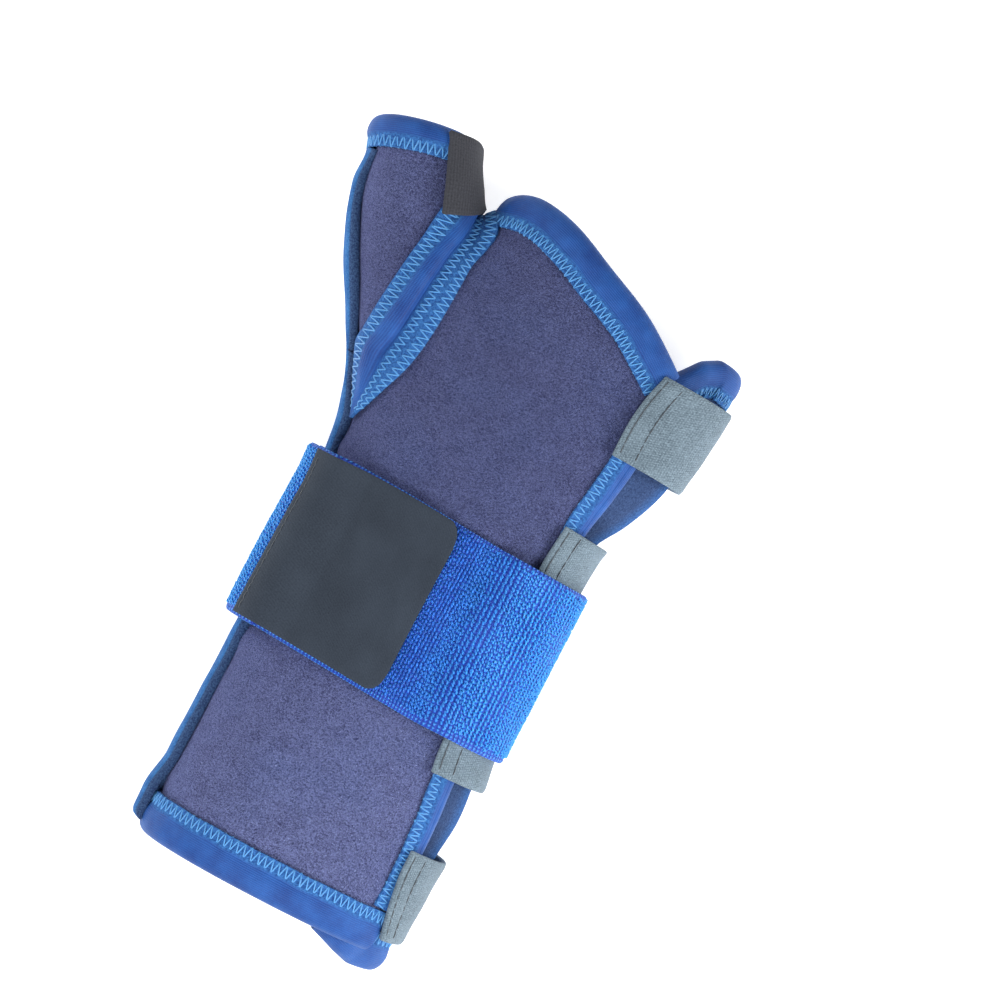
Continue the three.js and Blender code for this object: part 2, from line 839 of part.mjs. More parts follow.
function strapHookTab() {
  const level = stepped(
    [80, GAP + SECOND_LAYER],
    [148, GAP + SECOND_LAYER],
    [159.5, OVER_STRIP + SECOND_LAYER],
    [160.5, OVER_STRIP + 2 * SECOND_LAYER],
    [180, OVER_STRIP + 2 * SECOND_LAYER],
  );
  const turns = [173, 169, 165, 160.5, 159.5, 154, 148, 140, 131, 122, 113, 104, 95, 86, 82];
  const rows = turns.map((turn) => spread(4, (across) => {
    const p = strapPoint(degrees(turn), mix(0.02, 0.99, across));
    return between(p, level(turn) + HOOK_TAB, level(turn));
  }));
  return sheetMesh(rows);
}

function thumbStrap() {
  const web = webPoint(0).dot(THUMB_ALONG) + OVER_GUSSET + GAP;
  const rows = spread(14, (share) => spread(3, (across) => {
    const angle = mix(degrees(48), degrees(-105), share);
    const end = thumbMouth(angle) + 2;
    const low = Math.max(end - THUMB_STRAP_WIDTH, web);
    return between(onThumb(mix(low, end, across), angle), OVER_GUSSET + THUMB_STRAP, OVER_GUSSET);
  }));
  return sheetMesh(rows);
}

function brushedFabric() {
  return new THREE.MeshStandardMaterial({ color: 0x53547f, roughness: 0.95, metalness: 0 });
}

function bindingFabric() {
  return new THREE.MeshStandardMaterial({ color: 0x2f68c4, roughness: 0.7, metalness: 0 });
}

function tabFabric() {
  return new THREE.MeshStandardMaterial({ color: 0x748189, roughness: 0.9, metalness: 0 });
}

function strapElastic() {
  return new THREE.MeshStandardMaterial({ color: 0x1c56cc, roughness: 0.85, metalness: 0 });
}

function hookFabric() {
  return new THREE.MeshStandardMaterial({ color: 0x475058, roughness: 0.9, metalness: 0 });
}

function thumbStrapFabric() {
  return new THREE.MeshStandardMaterial({ color: 0x3d3f43, roughness: 0.85, metalness: 0 });
}

function stripFabric() {
  return new THREE.MeshStandardMaterial({ color: 0x30527f, roughness: 0.85, metalness: 0 });
}

function piece(name, mesh, material) {
  const solid = new THREE.Mesh(toGeometry(mesh), material);
  solid.name = name;
  return solid;
}

function build() {
  const splint = new THREE.Group();
  splint.name = 'thumb_spica_splint';
  splint.add(
    piece('dorsal_panel', dorsalPanel(), brushedFabric()),
    piece('palmar_panel', palmarPanel(), brushedFabric()),
    piece('thumb_panel', thumbPanel(), brushedFabric()),
    piece('thumb_gusset', thumbGusset(), bindingFabric()),
    piece('proximal_binding', proximalBinding(), bindingFabric()),
    piece('dorsal_distal_binding', dorsalDistalBinding(), bindingFabric()),
    piece('palmar_distal_binding', palmarDistalBinding(), bindingFabric()),
    piece('dorsal_edge_binding', dorsalEdgeBinding(), bindingFabric()),
    piece('thumb_edge_binding', thumbEdgeBinding(), stripFabric()),
    piece('thumb_top_binding', thumbTopBinding(), bindingFabric()),
    piece('wrist_strap', wristStrap(), strapElastic()),
    piece('strap_hook_tab', strapHookTab(), hookFabric()),
    piece('thumb_strap', thumbStrap(), thumbStrapFabric()),
  );
  Object.entries(TABS).forEach(([name, place]) => splint.add(piece(name, closureTab(place), tabFabric())));
  return splint;
}

// The base point sits under the middle of the splint, on the surface it lies on
function centred(splint) {
  const box = new THREE.Box3().setFromObject(splint);
  const middle = box.getCenter(new THREE.Vector3());
  splint.children.forEach((solid) => solid.geometry.translate(-middle.x, -middle.y, -box.min.z));
  return splint;
}

export default centred(build());
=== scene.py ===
import math

import bmesh
import bpy
import numpy as np
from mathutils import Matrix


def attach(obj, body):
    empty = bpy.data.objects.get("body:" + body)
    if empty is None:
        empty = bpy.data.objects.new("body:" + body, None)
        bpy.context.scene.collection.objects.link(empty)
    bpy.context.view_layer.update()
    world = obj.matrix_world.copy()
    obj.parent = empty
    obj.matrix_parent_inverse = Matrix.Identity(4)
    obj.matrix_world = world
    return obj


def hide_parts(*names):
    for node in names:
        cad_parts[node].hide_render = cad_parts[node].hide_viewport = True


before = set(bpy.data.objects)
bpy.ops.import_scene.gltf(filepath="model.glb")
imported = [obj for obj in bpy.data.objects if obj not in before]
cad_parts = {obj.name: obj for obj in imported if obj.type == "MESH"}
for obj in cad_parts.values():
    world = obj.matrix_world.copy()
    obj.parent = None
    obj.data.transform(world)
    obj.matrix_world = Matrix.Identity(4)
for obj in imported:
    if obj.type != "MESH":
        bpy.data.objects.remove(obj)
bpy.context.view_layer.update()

SPLINT_LENGTH = 209.5
FOREARM_WIDTH = 74.4
FOREARM_HEIGHT = 50
THUMB_WIDTH = 30
THUMB_HEIGHT = 30
THUMB_LEAN = math.radians(28)
PANEL = 3
BINDING = 0.75
GAP = 0.45
GUSSET = 1
GUSSET_GAP = 0.9
TAB = 1.5
TAB_WIDTH = 25
STRAP = 1.65
STRAP_WIDTH = 50.5
HOOK_TAB = 1.3
STRIP = 2.1
THUMB_STRAP = 1.4
THUMB_STRAP_WIDTH = 23.5
BINDING_LEAF = 8.6
EDGE_LEAF = 5.6
THUMB_LEAF = 6.2

ROUNDNESS = 2.25
WEB_BLEND = 12
FLAT_BLEND = 2

# Levels above the panels' outer face
BINDING_TOP = GAP + BINDING
STRIP_TOP = GAP + STRIP
OVER_BINDING = BINDING_TOP + GAP
GUSSET_TOP = GUSSET_GAP + GUSSET
OVER_GUSSET = GUSSET_TOP + GAP
TAB_TOP = OVER_BINDING + TAB
OVER_TAB = TAB_TOP + GAP
STRAP_TOP = GAP + STRAP
TONGUE_DROP = PANEL + 2 * BINDING_TOP + GAP
OVER_STRIP = STRIP_TOP + 2 * GAP
SECOND_LAYER = STRAP + GAP

# The middle of the splint's footprint in the layout frame
FOOTPRINT = np.array([-7.2689, 14.8401, 0.0])
MILLIMETRE = 0.001

MARCH = 1.5
HALVINGS = 16
WEB_HALVINGS = 20
SLOPE_STEP = 0.04
TURN = 2 * math.pi

across_thumb = np.array([math.cos(THUMB_LEAN), math.sin(THUMB_LEAN), 0.0])
along_thumb = np.array([-math.sin(THUMB_LEAN), math.cos(THUMB_LEAN), 0.0])
upward = np.array([0.0, 0.0, 1.0])


class Table:
    """A smooth curve through rows of a place and its values, level beyond its ends."""

    def __init__(self, *rows):
        rows = np.array(rows, float)
        self.places = rows[:, 0]
        self.values = rows[:, 1:]

    def __call__(self, at):
        places, values = self.places, self.values
        at = np.clip(np.asarray(at, float), places[0], places[-1])
        last = len(places) - 1
        high = np.clip(np.searchsorted(places, at, side="right"), 1, last)
        low = high - 1
        before = np.where(low == 0, high, low - 1)
        after = np.where(high == last, low, np.minimum(high + 1, last))
        span = places[high] - places[low]
        lead = span / 2 / (places[low] - places[before])
        trail = span / 2 / (places[after] - places[high])
        p = (at - places[low]) / span
        weights = [
            -lead * p**3 + 2 * lead * p**2 - lead * p,
            (1 + lead) * p**3 + (-1.5 - 2 * lead) * p**2 + (lead - 0.5) * p + 1,
            (-1 - trail) * p**3 + (1.5 + trail) * p**2 + 0.5 * p,
            trail * p**3 - trail * p**2,
        ]
        total = sum(w[..., None] * values[i] for w, i in zip(weights, (before, low, high, after)))
        return [total[..., column] for column in range(values.shape[1])]


def stepped(*rows):
    """Straight lines through rows of a place and a value."""
    places, values = np.array(rows, float).T
    return lambda at: np.interp(at, places, values)


# The main tube: along as a share of SPLINT_LENGTH, then left, right, top and bottom
TUBE = Table(
    (-0.453, -0.457, 0.505, 1.004, -0.052),
    (-0.396, -0.458, 0.513, 1, -0.052),
    (-0.315, -0.462, 0.517, 0.988, -0.052),
    (-0.258, -0.464, 0.524, 0.978, -0.052),
    (-0.21, -0.464, 0.535, 0.968, -0.052),
    (-0.162, -0.462, 0.523, 0.956, -0.052),
    (-0.115, -0.464, 0.501, 0.936, -0.05),
    (-0.038, -0.468, 0.496, 0.912, -0.048),
    (0.072, -0.465, 0.493, 0.892, -0.048),
    (0.134, -0.46, 0.493, 0.878, -0.048),
    (0.181, -0.454, 0.507, 0.866, -0.048),
    (0.22, -0.446, 0.57, 0.852, -0.048),
    (0.277, -0.433, 0.634, 0.824, -0.044),
    (0.344, -0.419, 0.659, 0.796, -0.042),
    (0.411, -0.403, 0.677, 0.768, -0.04),
    (0.463, -0.376, 0.685, 0.742, -0.036),
    (0.506, -0.349, 0.683, 0.722, -0.034),
    (0.563, -0.325, 0.675, 0.7, -0.032),
)

# The thumb tube along its leaning axis: along, left, right, top and bottom
THUMB = Table(
    (-0.038, 0.067, 0.1, 0.7, 0.667),
    (0.024, -0.133, 0.267, 1, 0.333),
    (0.105, -0.3, 0.433, 1.2, 0.18),
    (0.191, -0.383, 0.517, 1.233, 0.16),
    (0.286, -0.4, 0.543, 1.213, 0.16),
    (0.382, -0.417, 0.553, 1.18, 0.16),
    (0.453, -0.433, 0.557, 1.153, 0.16),
    (0.492, -0.413, 0.573, 1.133, 0.16),
    (0.53, -0.367, 0.593, 1.107, 0.16),
    (0.568, -0.307, 0.613, 1.08, 0.16),
    (0.611, -0.263, 0.623, 1.06, 0.16),
    (0.668, -0.247, 0.623, 1.053, 0.16),
)
THUMB_START = -0.02

# Edges seen from above: along, then across
DORSAL_EDGE = Table(
    (-0.401, 0.446), (-0.286, 0.449), (-0.215, 0.44), (-0.162, 0.427), (-0.048, 0.425), (0.095, 0.425),
    (0.191, 0.427), (0.239, 0.449), (0.291, 0.468), (0.358, 0.476), (0.43, 0.457),
)
GUSSET_RIGHT = Table(
    (0.179, -0.46), (0.211, -0.431), (0.239, -0.405), (0.266, -0.38), (0.296, -0.364), (0.334, -0.356),
    (0.382, -0.353), (0.45, -0.345), (0.482, -0.34), (0.516, -0.34),
)
GUSSET_LEFT = Table(
    (0.179, -0.469), (0.205, -0.496), (0.234, -0.54), (0.26, -0.577), (0.293, -0.579), (0.348, -0.573),
    (0.416, -0.556), (0.467, -0.528), (0.516, -0.511),
)
STRIP_EDGE = Table(
    (-0.401, -0.445), (-0.134, -0.446), (0.095, -0.452), (0.143, -0.461), (0.181, -0.472), (0.205, -0.5),
    (0.239, -0.549), (0.286, -0.606), (0.334, -0.671), (0.382, -0.743), (0.43, -0.806), (0.477, -0.836),
    (0.525, -0.841),
)
# The dorsal panel's far edge: across, then along
DISTAL_EDGE = Table(
    (-0.349, 0.513), (-0.329, 0.518), (-0.296, 0.5225), (-0.25, 0.5245), (-0.116, 0.516), (0.077, 0.487),
    (0.269, 0.456), (0.403, 0.425), (0.484, 0.404),
)

# Edges round the main tube by degrees from the closure side
PROXIMAL_END = -0.385
MOUTH_EDGE = stepped(
    (0, PROXIMAL_END), (270, -0.39), (320, -0.395), (345, -0.413), (372, -0.416), (390, -0.407),
    (412, -0.39), (440, -0.385),
)
KNUCKLE_EDGE = stepped(
    (180, 0.49), (205, 0.47), (235, 0.445), (270, 0.428), (312, 0.412), (332, 0.414), (346, 0.438),
    (356, 0.448), (370, 0.452), (380, 0.442), (388, 0.416), (400, 0.394), (412, 0.386),
)
PALMAR_SEAM = stepped(
    (0.12, 184), (0.19, 198), (0.275, 208), (0.33, 204), (0.387, 199), (0.422, 194.5), (0.45, 189),
    (0.47, 185.5), (0.49, 184),
)
FLAT_LEVEL = stepped((-0.2, BINDING_TOP), (-0.14, STRAP_TOP), (0.15, STRAP_TOP), (0.21, BINDING_TOP))


def section(shares, width, height):
    left, right, top, bottom = shares
    return (right + left) * width / 2, (top + bottom) * height / 2, \
        (right - left) * width / 2, (top - bottom) * height / 2


def tube_section(y):
    return section(TUBE(y / SPLINT_LENGTH), FOREARM_WIDTH, FOREARM_HEIGHT)


def thumb_section(s):
    return section(THUMB(s / SPLINT_LENGTH), THUMB_WIDTH, THUMB_HEIGHT)


def outside(ring, across, z):
    """Distance outside a rounded section, along the ray from its middle."""
    middle, level, half, rise = ring
    dx = np.abs(across - middle)
    dz = np.abs(z - level)
    share = ((dx / half) ** ROUNDNESS + (dz / rise) ** ROUNDNESS) ** (1 / ROUNDNESS)
    reach = np.hypot(dx, dz)
    beyond = reach - reach / np.maximum(share, SLOPE_STEP)
    return np.where(share < SLOPE_STEP, -np.minimum(half, rise), beyond)


def softly(a, b, width):
    near = np.maximum(width - np.abs(a - b), 0) / width
    return near * near * width / 4


def tube_field(p):
    return outside(tube_section(p[:, 1]), p[:, 0], p[:, 2])


def thumb_field(p):
    s = p @ along_thumb
    short = np.maximum(THUMB_START * SPLINT_LENGTH - s, 0)
    return outside(thumb_section(s), p @ across_thumb, p[:, 2]) + short


def field(p):
    """Below zero inside the panels' outer face, above zero outside it."""
    tube = tube_field(p)
    thumb = thumb_field(p)
    whole = np.minimum(tube, thumb) - softly(tube, thumb, WEB_BLEND)
    floor = FLAT_LEVEL(p[:, 1] / SPLINT_LENGTH) - p[:, 2]
    return np.maximum(whole, floor) + softly(whole, floor, FLAT_BLEND)


def unit(v):
    return v / np.maximum(np.linalg.norm(v, axis=-1, keepdims=True), 1e-9)


def slope(p):
    steps = [(field(p + step) - field(p - step)) / (2 * SLOPE_STEP) for step in np.eye(3) * SLOPE_STEP]
    return np.stack(steps, axis=1)


def exit_from(start, direction):
    """Where rays from inside leave the outer face."""
    near = np.zeros(len(start))
    going = np.arange(len(start))
    while len(going):
        inside = field(start[going] + direction[going] * (near[going] + MARCH)[:, None]) < 0
        going = going[inside]
        near[going] += MARCH
    far = near + MARCH
    for _ in range(HALVINGS):
        middle = (near + far) / 2
        inside = field(start + direction * middle[:, None]) < 0
        near = np.where(inside, middle, near)
        far = np.where(inside, far, middle)
    return start + direction * near[:, None]


def settle(p):
    """Points moved on to the outer face."""
    for _ in range(4):
        gradient = slope(p)
        p = p - gradient * (field(p) / np.sum(gradient**2, axis=1))[:, None]
    return p


def lifted(p, height):
    return p + unit(slope(p)) * np.broadcast_to(height, len(p))[:, None]


def hump(value, middle, width):
    return np.exp(-((value - middle) / width) ** 2)


def matched(a, b):
    return np.broadcast_arrays(np.asarray(a, float), np.asarray(b, float))


def reach_along(path):
    """How far each point of a path lies from its first, along it."""
    return np.concatenate([[0], np.cumsum(np.linalg.norm(np.diff(path, axis=0), axis=1))])


def walk_along(path, reach, at):
    return np.stack([np.interp(at, reach, path[:, axis]) for axis in range(3)], axis=1)


def columns(*values):
    return np.stack([np.asarray(v, float) for v in np.broadcast_arrays(*values)], axis=-1)


def on_tube(y, angle):
    y, angle = matched(y, angle)
    middle, level, _, _ = tube_section(y)
    return exit_from(columns(middle, y, level), columns(np.cos(angle), 0, np.sin(angle)))


def on_thumb(s, angle):
    s, angle = matched(s, angle)
    middle, level, _, _ = thumb_section(s)
    start = s[:, None] * along_thumb + middle[:, None] * across_thumb + level[:, None] * upward
    return exit_from(start, np.cos(angle)[:, None] * across_thumb + np.sin(angle)[:, None] * upward)


def from_above(x, y):
    x, y = matched(x, y)
    return exit_from(columns(x, y, tube_section(y)[1]), np.tile(upward, (len(x), 1)))


def from_thumb_side(y, z):
    """The outermost points on the thumb side at given heights."""
    y, z = matched(y, z)
    start = columns(-2 * FOREARM_WIDTH, y, z)
    going = np.arange(len(start))
    while len(going):
        going = going[field(start[going]) > 0]
        start[going, 0] += MARCH
    return exit_from(start, np.tile([-1.0, 0, 0], (len(start), 1)))


def tube_angle(p):
    middle, level, _, _ = tube_section(p[:, 1])
    return np.arctan2(p[:, 2] - level, p[:, 0] - middle)


def thumb_angle(p):
    middle, level, _, _ = thumb_section(p @ along_thumb)
    return np.arctan2(p[:, 2] - level, p @ across_thumb - middle)


def plan_x(edge, y):
    return edge(np.asarray(y) / SPLINT_LENGTH)[0] * FOREARM_WIDTH


def halved(low, high, is_low, steps=HALVINGS):
    """The value between low and high at which is_low turns from true to false."""
    for _ in range(steps):
        middle = (low + high) / 2
        found = is_low(middle)
        low = np.where(found, middle, low)
        high = np.where(found, high, middle)
    return low


def thumb_angle_of(edge, s):
    """The angle at which the thumb tube's sections meet an edge drawn from above."""
    def at(reach):
        return s[:, None] * along_thumb + reach[:, None] * across_thumb

    def left_of(reach):
        p = at(reach)
        return p[:, 0] < plan_x(edge, p[:, 1])

    p = at(halved(np.full(len(s), -float(THUMB_WIDTH)), np.full(len(s), float(THUMB_WIDTH)), left_of))
    angle = thumb_angle(from_above(p[:, 0], p[:, 1]))
    return np.where(angle < -math.pi / 2, angle + TURN, angle)


def walked(start, heading, distances):
    """Points reached by walking from start over the outer face, one list for each distance."""
    stops = []
    place, point, way = 0.0, start, heading
    for distance in distances:
        count = max(int(math.ceil(abs(distance - place) / 1.2)), 1)
        for _ in range(count):
            point = settle(point + way * (distance - place) / count)
            up = unit(slope(point))
            way = unit(way - up * np.sum(way * up, axis=1)[:, None])
        place = distance
        stops.append(point)
    return stops


def mix(low, high, share):
    return low + (high - low) * share


def smooth(value, low, high):
    share = np.clip((value - low) / (high - low), 0, 1)
    return share * share * (3 - 2 * share)


def ripple(u, v, seed, size):
    """A gentle uneven wave over a cloth, between about -1 and 1; size is its length."""
    rng = np.random.default_rng(seed)
    total = 0
    for _ in range(5):
        turn, phase = rng.uniform(0, TURN, 2)
        stretch = rng.uniform(0.6, 1.7)
        total = total + np.sin((u * math.cos(turn) + v * math.sin(turn)) * TURN * stretch / size + phase)
    return total / 2.5


# Pieces of cloth, and how wide or long each lies when flat

DORSAL_WIDTH = 92
THUMB_CLOTH_WIDTH = 34
THUMB_UNDER_WIDTH = 48
GUSSET_WIDTH = 14
TAPE_WIDTH = 13
TAB_REACH = 34
THUMB_STRAP_REACH = 42
ARC_PER_DEGREE = 0.62

# How near points of two edges lie to be sewn together, in metres
PALM_WELD = 0.00002
RING_WELD = 0.00005


def set_down(points, lowest=0.0):
    """Points in the layout frame brought to the splint's own, in metres; cloth lies flat on the floor."""
    points = np.array(points, float)
    points[:, 2] = np.maximum(points[:, 2], lowest)
    return (points - FOOTPRINT) * MILLIMETRE


def put(name, data):
    made = bpy.data.objects.new(name, data)
    bpy.context.scene.collection.objects.link(made)
    return made


def cloth_piece(name, grids, thickness, round_edge, weld=0.0):
    """Cloth from grids of across by along cells, laid where their place(u, v) says, with a flat map."""
    bm = bmesh.new()
    wall = bm.verts.layers.deform.new()
    cloth = bm.loops.layers.uv.new("cloth")
    for across, along, place in grids:
        corners = bmesh.ops.create_grid(bm, x_segments=across, y_segments=along, size=0.5)["verts"]
        share = np.array([corner.co[:2] for corner in corners]) + 0.5
        points, flat, *depth = place(share[:, 0], share[:, 1])
        for index, (corner, point) in enumerate(zip(corners, set_down(points))):
            corner.co = point
            for loop in corner.link_loops:
                loop[cloth].uv = flat[index]
            if depth:
                corner[wall][0] = min(max(depth[0][index] / thickness, 0.0), 1.0)
    if weld:
        bmesh.ops.remove_doubles(bm, verts=bm.verts, dist=weld)
    bmesh.ops.recalc_face_normals(bm, faces=bm.faces)
    mesh = bpy.data.meshes.new(name)
    bm.to_mesh(mesh)
    bm.free()
    piece = put(name, mesh)
    face_outwards(piece)
    if depth:
        piece.vertex_groups.new(name="wall")
    finish_sheet(piece, thickness, round_edge)
    return piece


def face_outwards(piece):
    """Turns a sheet over where its outer leaf looks into the splint."""
    mesh = piece.data
    first = mesh.polygons[0]
    here = np.array([first.center]) / MILLIMETRE + FOOTPRINT
    if np.dot(unit(slope(here))[0], np.array(first.normal)) < 0:
        mesh.flip_normals()


def finish_sheet(piece, thickness, round_edge):
    piece.data.shade_smooth()
    wall = piece.modifiers.new("wall", "SOLIDIFY")
    wall.thickness = thickness * MILLIMETRE
    wall.offset = -1
    if piece.vertex_groups:
        wall.vertex_group = "wall"
    if round_edge:
        edge = piece.modifiers.new("edge", "BEVEL")
        edge.width = round_edge * MILLIMETRE
        edge.segments = 2
        edge.limit_method = "ANGLE"
        edge.angle_limit = math.radians(50)


def dress(piece, material, node=None):
    """Gives a piece its material, hangs it under the root body and hides the CAD part of the node it stands
    for, if one is given.
    """
    piece.data.materials.append(material)
    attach(piece, "root")
    if node:
        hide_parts(node)


# The edges of the panels

def dorsal_edge_angle(y):
    return tube_angle(from_above(plan_x(DORSAL_EDGE, y), y))


UNDER_STRIP = math.radians(5)
UNDER_GUSSET = 2
GUSSET_REACH = 5
GUSSET_TIP = 0.179


def dorsal_thumb_side_angle(y):
    strip = tube_angle(from_above(plan_x(STRIP_EDGE, y), y)) + UNDER_STRIP
    gusset = tube_angle(from_above(plan_x(GUSSET_RIGHT, y) - UNDER_GUSSET, y))
    return np.where(y < GUSSET_TIP * SPLINT_LENGTH, strip, gusset)


def dorsal_point(y, share):
    y, share = matched(y, share)
    return on_tube(y, mix(dorsal_edge_angle(y), dorsal_thumb_side_angle(y), share))


def dorsal_column(share):
    end = np.full(len(share), SPLINT_LENGTH / 2)
    for _ in range(8):
        end = DISTAL_EDGE(dorsal_point(end, share)[:, 0] / FOREARM_WIDTH)[0] * SPLINT_LENGTH
    return end


def pressed_by_strap(y):
    """The padding swells a little beside the strap and is pressed under it."""
    beside = np.abs(y - STRAP_ALONG * SPLINT_LENGTH) - STRAP_WIDTH / 2
    return 0.55 * hump(beside, 3.5, 3.2) - 0.25 * (1 - smooth(beside, -3, 0.5))


def swelling(edge_distance, leaf):
    """Padding pressed flat under a stitched edge swells again beside it."""
    inner = edge_distance - leaf
    return 0.42 * hump(inner, 4.5, 3.2) - 0.12 * (1 - smooth(inner, -1, 1.5))


def dorsal_panel_place(u, v):
    shares = np.linspace(0, 1, 60)
    end = np.interp(u, shares, dorsal_column(shares))
    start = PROXIMAL_END * SPLINT_LENGTH
    y = mix(start, end, v)
    points = dorsal_point(y, u)
    puff = swelling(y - start, BINDING_LEAF) + swelling(end - y, BINDING_LEAF) + pressed_by_strap(y)
    arc = u * DORSAL_WIDTH
    puff += 0.5 * swelling(arc, EDGE_LEAF) + 0.14 * ripple(arc, y, 4, 34)
    fade = smooth(np.minimum(y - start, end - y), 0, 4)
    return lifted(points, puff * fade), columns(arc, y)


def tongue_drop(angle):
    return -TONGUE_DROP * smooth(angle, TURN - math.radians(8), TURN + math.radians(18))


SEAM = 181
PALM_END = 410


def seam_turn(y):
    return np.where(y < 0.12 * SPLINT_LENGTH, SEAM, PALMAR_SEAM(y / SPLINT_LENGTH))


def palm_angle(y, turn):
    share = np.clip((270 - turn) / (270 - SEAM), 0, 1)
    return np.radians(turn + (seam_turn(y) - SEAM) * share)


def mouth_along(angle):
    return MOUTH_EDGE(np.degrees(angle)) * SPLINT_LENGTH


def knuckle_along(angle):
    return KNUCKLE_EDGE(np.degrees(angle)) * SPLINT_LENGTH


def palmar_end(turn):
    end = np.full(len(turn), SPLINT_LENGTH / 2)
    for _ in range(6):
        end = knuckle_along(palm_angle(end, turn))
    return end


def thumb_mouth(angle):
    return SPLINT_LENGTH * (0.592 - 0.016 * np.cos(angle) + 0.009 * np.sin(angle))


def thumb_seam_angle(s):
    return math.pi + np.radians(mix(6, 0, smooth(s, 60, 120)))


def web_point(turn):
    """The line between main tube and thumb tube, by the turn from straight ahead."""
    turn = np.atleast_1d(np.asarray(turn, float))
    middle, level = 0.375 * SPLINT_LENGTH, 0.4 * FOREARM_HEIGHT

    def at(reach):
        y = middle + reach * np.cos(turn)
        z = level + reach * np.sin(turn)

        def on_thumb_side(x):
            p = columns(x, y, z)
            return thumb_field(p) < tube_field(p)

        return columns(halved(start - FOREARM_WIDTH, start, on_thumb_side, WEB_HALVINGS), y, z)

    start = np.zeros(len(turn))
    return at(halved(start, start + FOREARM_WIDTH, lambda reach: field(at(reach)) < 0, WEB_HALVINGS))


def web_reach():
    """How far along the thumb tube the web lies."""
    return float(web_point(0)[0] @ along_thumb)


def web_point_along(y):
    start = np.full(len(y), math.radians(-150))
    stop = np.full(len(y), math.radians(-5))
    return web_point(halved(start, stop, lambda turn: web_point(turn)[:, 1] < y))


PALM_ACROSS, PALM_ALONG = 150, 120
FIRST_THUMB_ROW = round(0.58 * PALM_ALONG)
LAST_THUMB_ROW = PALM_ALONG - 3


def palm_points(u, v):
    """The palmar panel's outer face without puffing, and its turns."""
    shares = np.linspace(0, 1, 60)
    turns = np.linspace(SEAM, PALM_END, 60)
    start = np.interp(u, shares, mouth_along(np.radians(turns)))
    end = np.interp(u, shares, palmar_end(turns))
    turn = mix(SEAM, PALM_END, u)
    y = mix(start, end, v)
    angle = palm_angle(y, turn)
    return on_tube(y, angle), y, angle, start, end


def seam_points():
    """The points where the thumb tube's lower half is sewn to the palmar panel."""
    v = np.arange(PALM_ALONG + 1) / PALM_ALONG
    points, y = palm_points(np.zeros(len(v)), v)[:2]
    web = smooth(v, 0.84, 0.9) * (1 - smooth(v, 0.975, 1))
    chosen = web > 0
    points[chosen] += (web_point_along(y[chosen]) - points[chosen]) * web[chosen, None]
    points[chosen] = settle(points[chosen])
    return points


def palm_place(u, v):
    points, y, angle, start, end = palm_points(u, v)
    seam = seam_points()
    first = u < 0.5 / PALM_ACROSS
    rows = np.round(v * PALM_ALONG).astype(int)
    near = 6 / PALM_ACROSS
    pull = np.clip(1 - u / near, 0, 1) ** 2
    base = points[np.flatnonzero(first)][np.argsort(rows[first])]
    shift = (seam - base)[rows]
    moved = points + shift * pull[:, None]
    moved[~first] = np.where(pull[~first, None] > 0, settle(moved[~first]), moved[~first])
    moved[first] = seam[rows[first]]
    level = tongue_drop(angle)
    sinks = 1 - smooth(-level, 0, 1)
    puff = (swelling(y - start, BINDING_LEAF) + swelling(end - y, BINDING_LEAF)) * 0.6 * sinks
    fade = smooth(np.minimum(y - start, end - y), 0, 4) * smooth(u, 0, 0.06) * smooth(moved[:, 2], 4, 12)
    return lifted(moved, level + puff * fade), columns(np.degrees(angle) * ARC_PER_DEGREE, y)


THUMB_UNDER = 34


def palm_thumb_place(u, v):
    """The lower half of the thumb tube: u runs round it, v along the seam and then to its mouth."""
    seam = seam_points()[FIRST_THUMB_ROW:LAST_THUMB_ROW + 1]
    attached = len(seam)
    web = web_reach()
    start_turn = stepped((0.03, -19), (0.12, -12), (0.25, -7), (0.5, -5), (1, -5))
    row = np.round(v * (THUMB_ROWS - 1)).astype(int)
    s_seam = seam @ along_thumb
    angle_seam = thumb_angle(seam)
    sewn = row < attached
    picked = np.clip(row, 0, attached - 1)
    sewn_angle = mix(angle_seam[picked], thumb_seam_angle(s_seam[picked]) - TURN, u)
    length = 0.03 + 0.97 * np.clip((row - attached) / (THUMB_ROWS - 1 - attached), 0, 1)
    reach = mix(web, float(thumb_mouth(math.pi)), length)
    free_angle = mix(np.radians(start_turn(length)), thumb_seam_angle(reach) - TURN, u)
    s = np.where(sewn, s_seam[picked], mix(web, thumb_mouth(free_angle), length))
    points = on_thumb(s, np.where(sewn, sewn_angle, free_angle))
    on_seam = sewn & (u < 0.25 / THUMB_UNDER)
    points[on_seam] = seam[picked[on_seam]]
    return points, columns(u * THUMB_UNDER_WIDTH, s)


THUMB_ROWS = LAST_THUMB_ROW + 1 - FIRST_THUMB_ROW + 30


def thumb_inner_angle(s):
    web = web_reach()
    free = smooth(s, web, web + 2 * GUSSET_REACH)
    return mix(thumb_angle_of(GUSSET_LEFT, s) - math.radians(9), math.radians(4), free)


def thumb_panel_angle(s, share):
    strip = thumb_angle_of(STRIP_EDGE, s) + UNDER_STRIP
    outer = np.minimum(strip, thumb_seam_angle(s) - math.radians(11))
    return mix(thumb_inner_angle(s), outer, share)


def thumb_panel_place(u, v):
    base = 0.27 * SPLINT_LENGTH
    shares = np.linspace(0, 1, 40)
    top = np.full(len(shares), float(thumb_mouth(math.pi / 2)))
    for _ in range(5):
        top = thumb_mouth(thumb_panel_angle(top, shares))
    s = mix(base, np.interp(u, shares, top), v)
    angle = thumb_panel_angle(s, u)
    puff = 0.16 * ripple(u * 30, s, 9, 26)
    return lifted(on_thumb(s, angle), puff * smooth(1 - v, 0, 0.12)), columns(u * THUMB_CLOTH_WIDTH, s)


# The gusset between thumb panel and dorsal panel

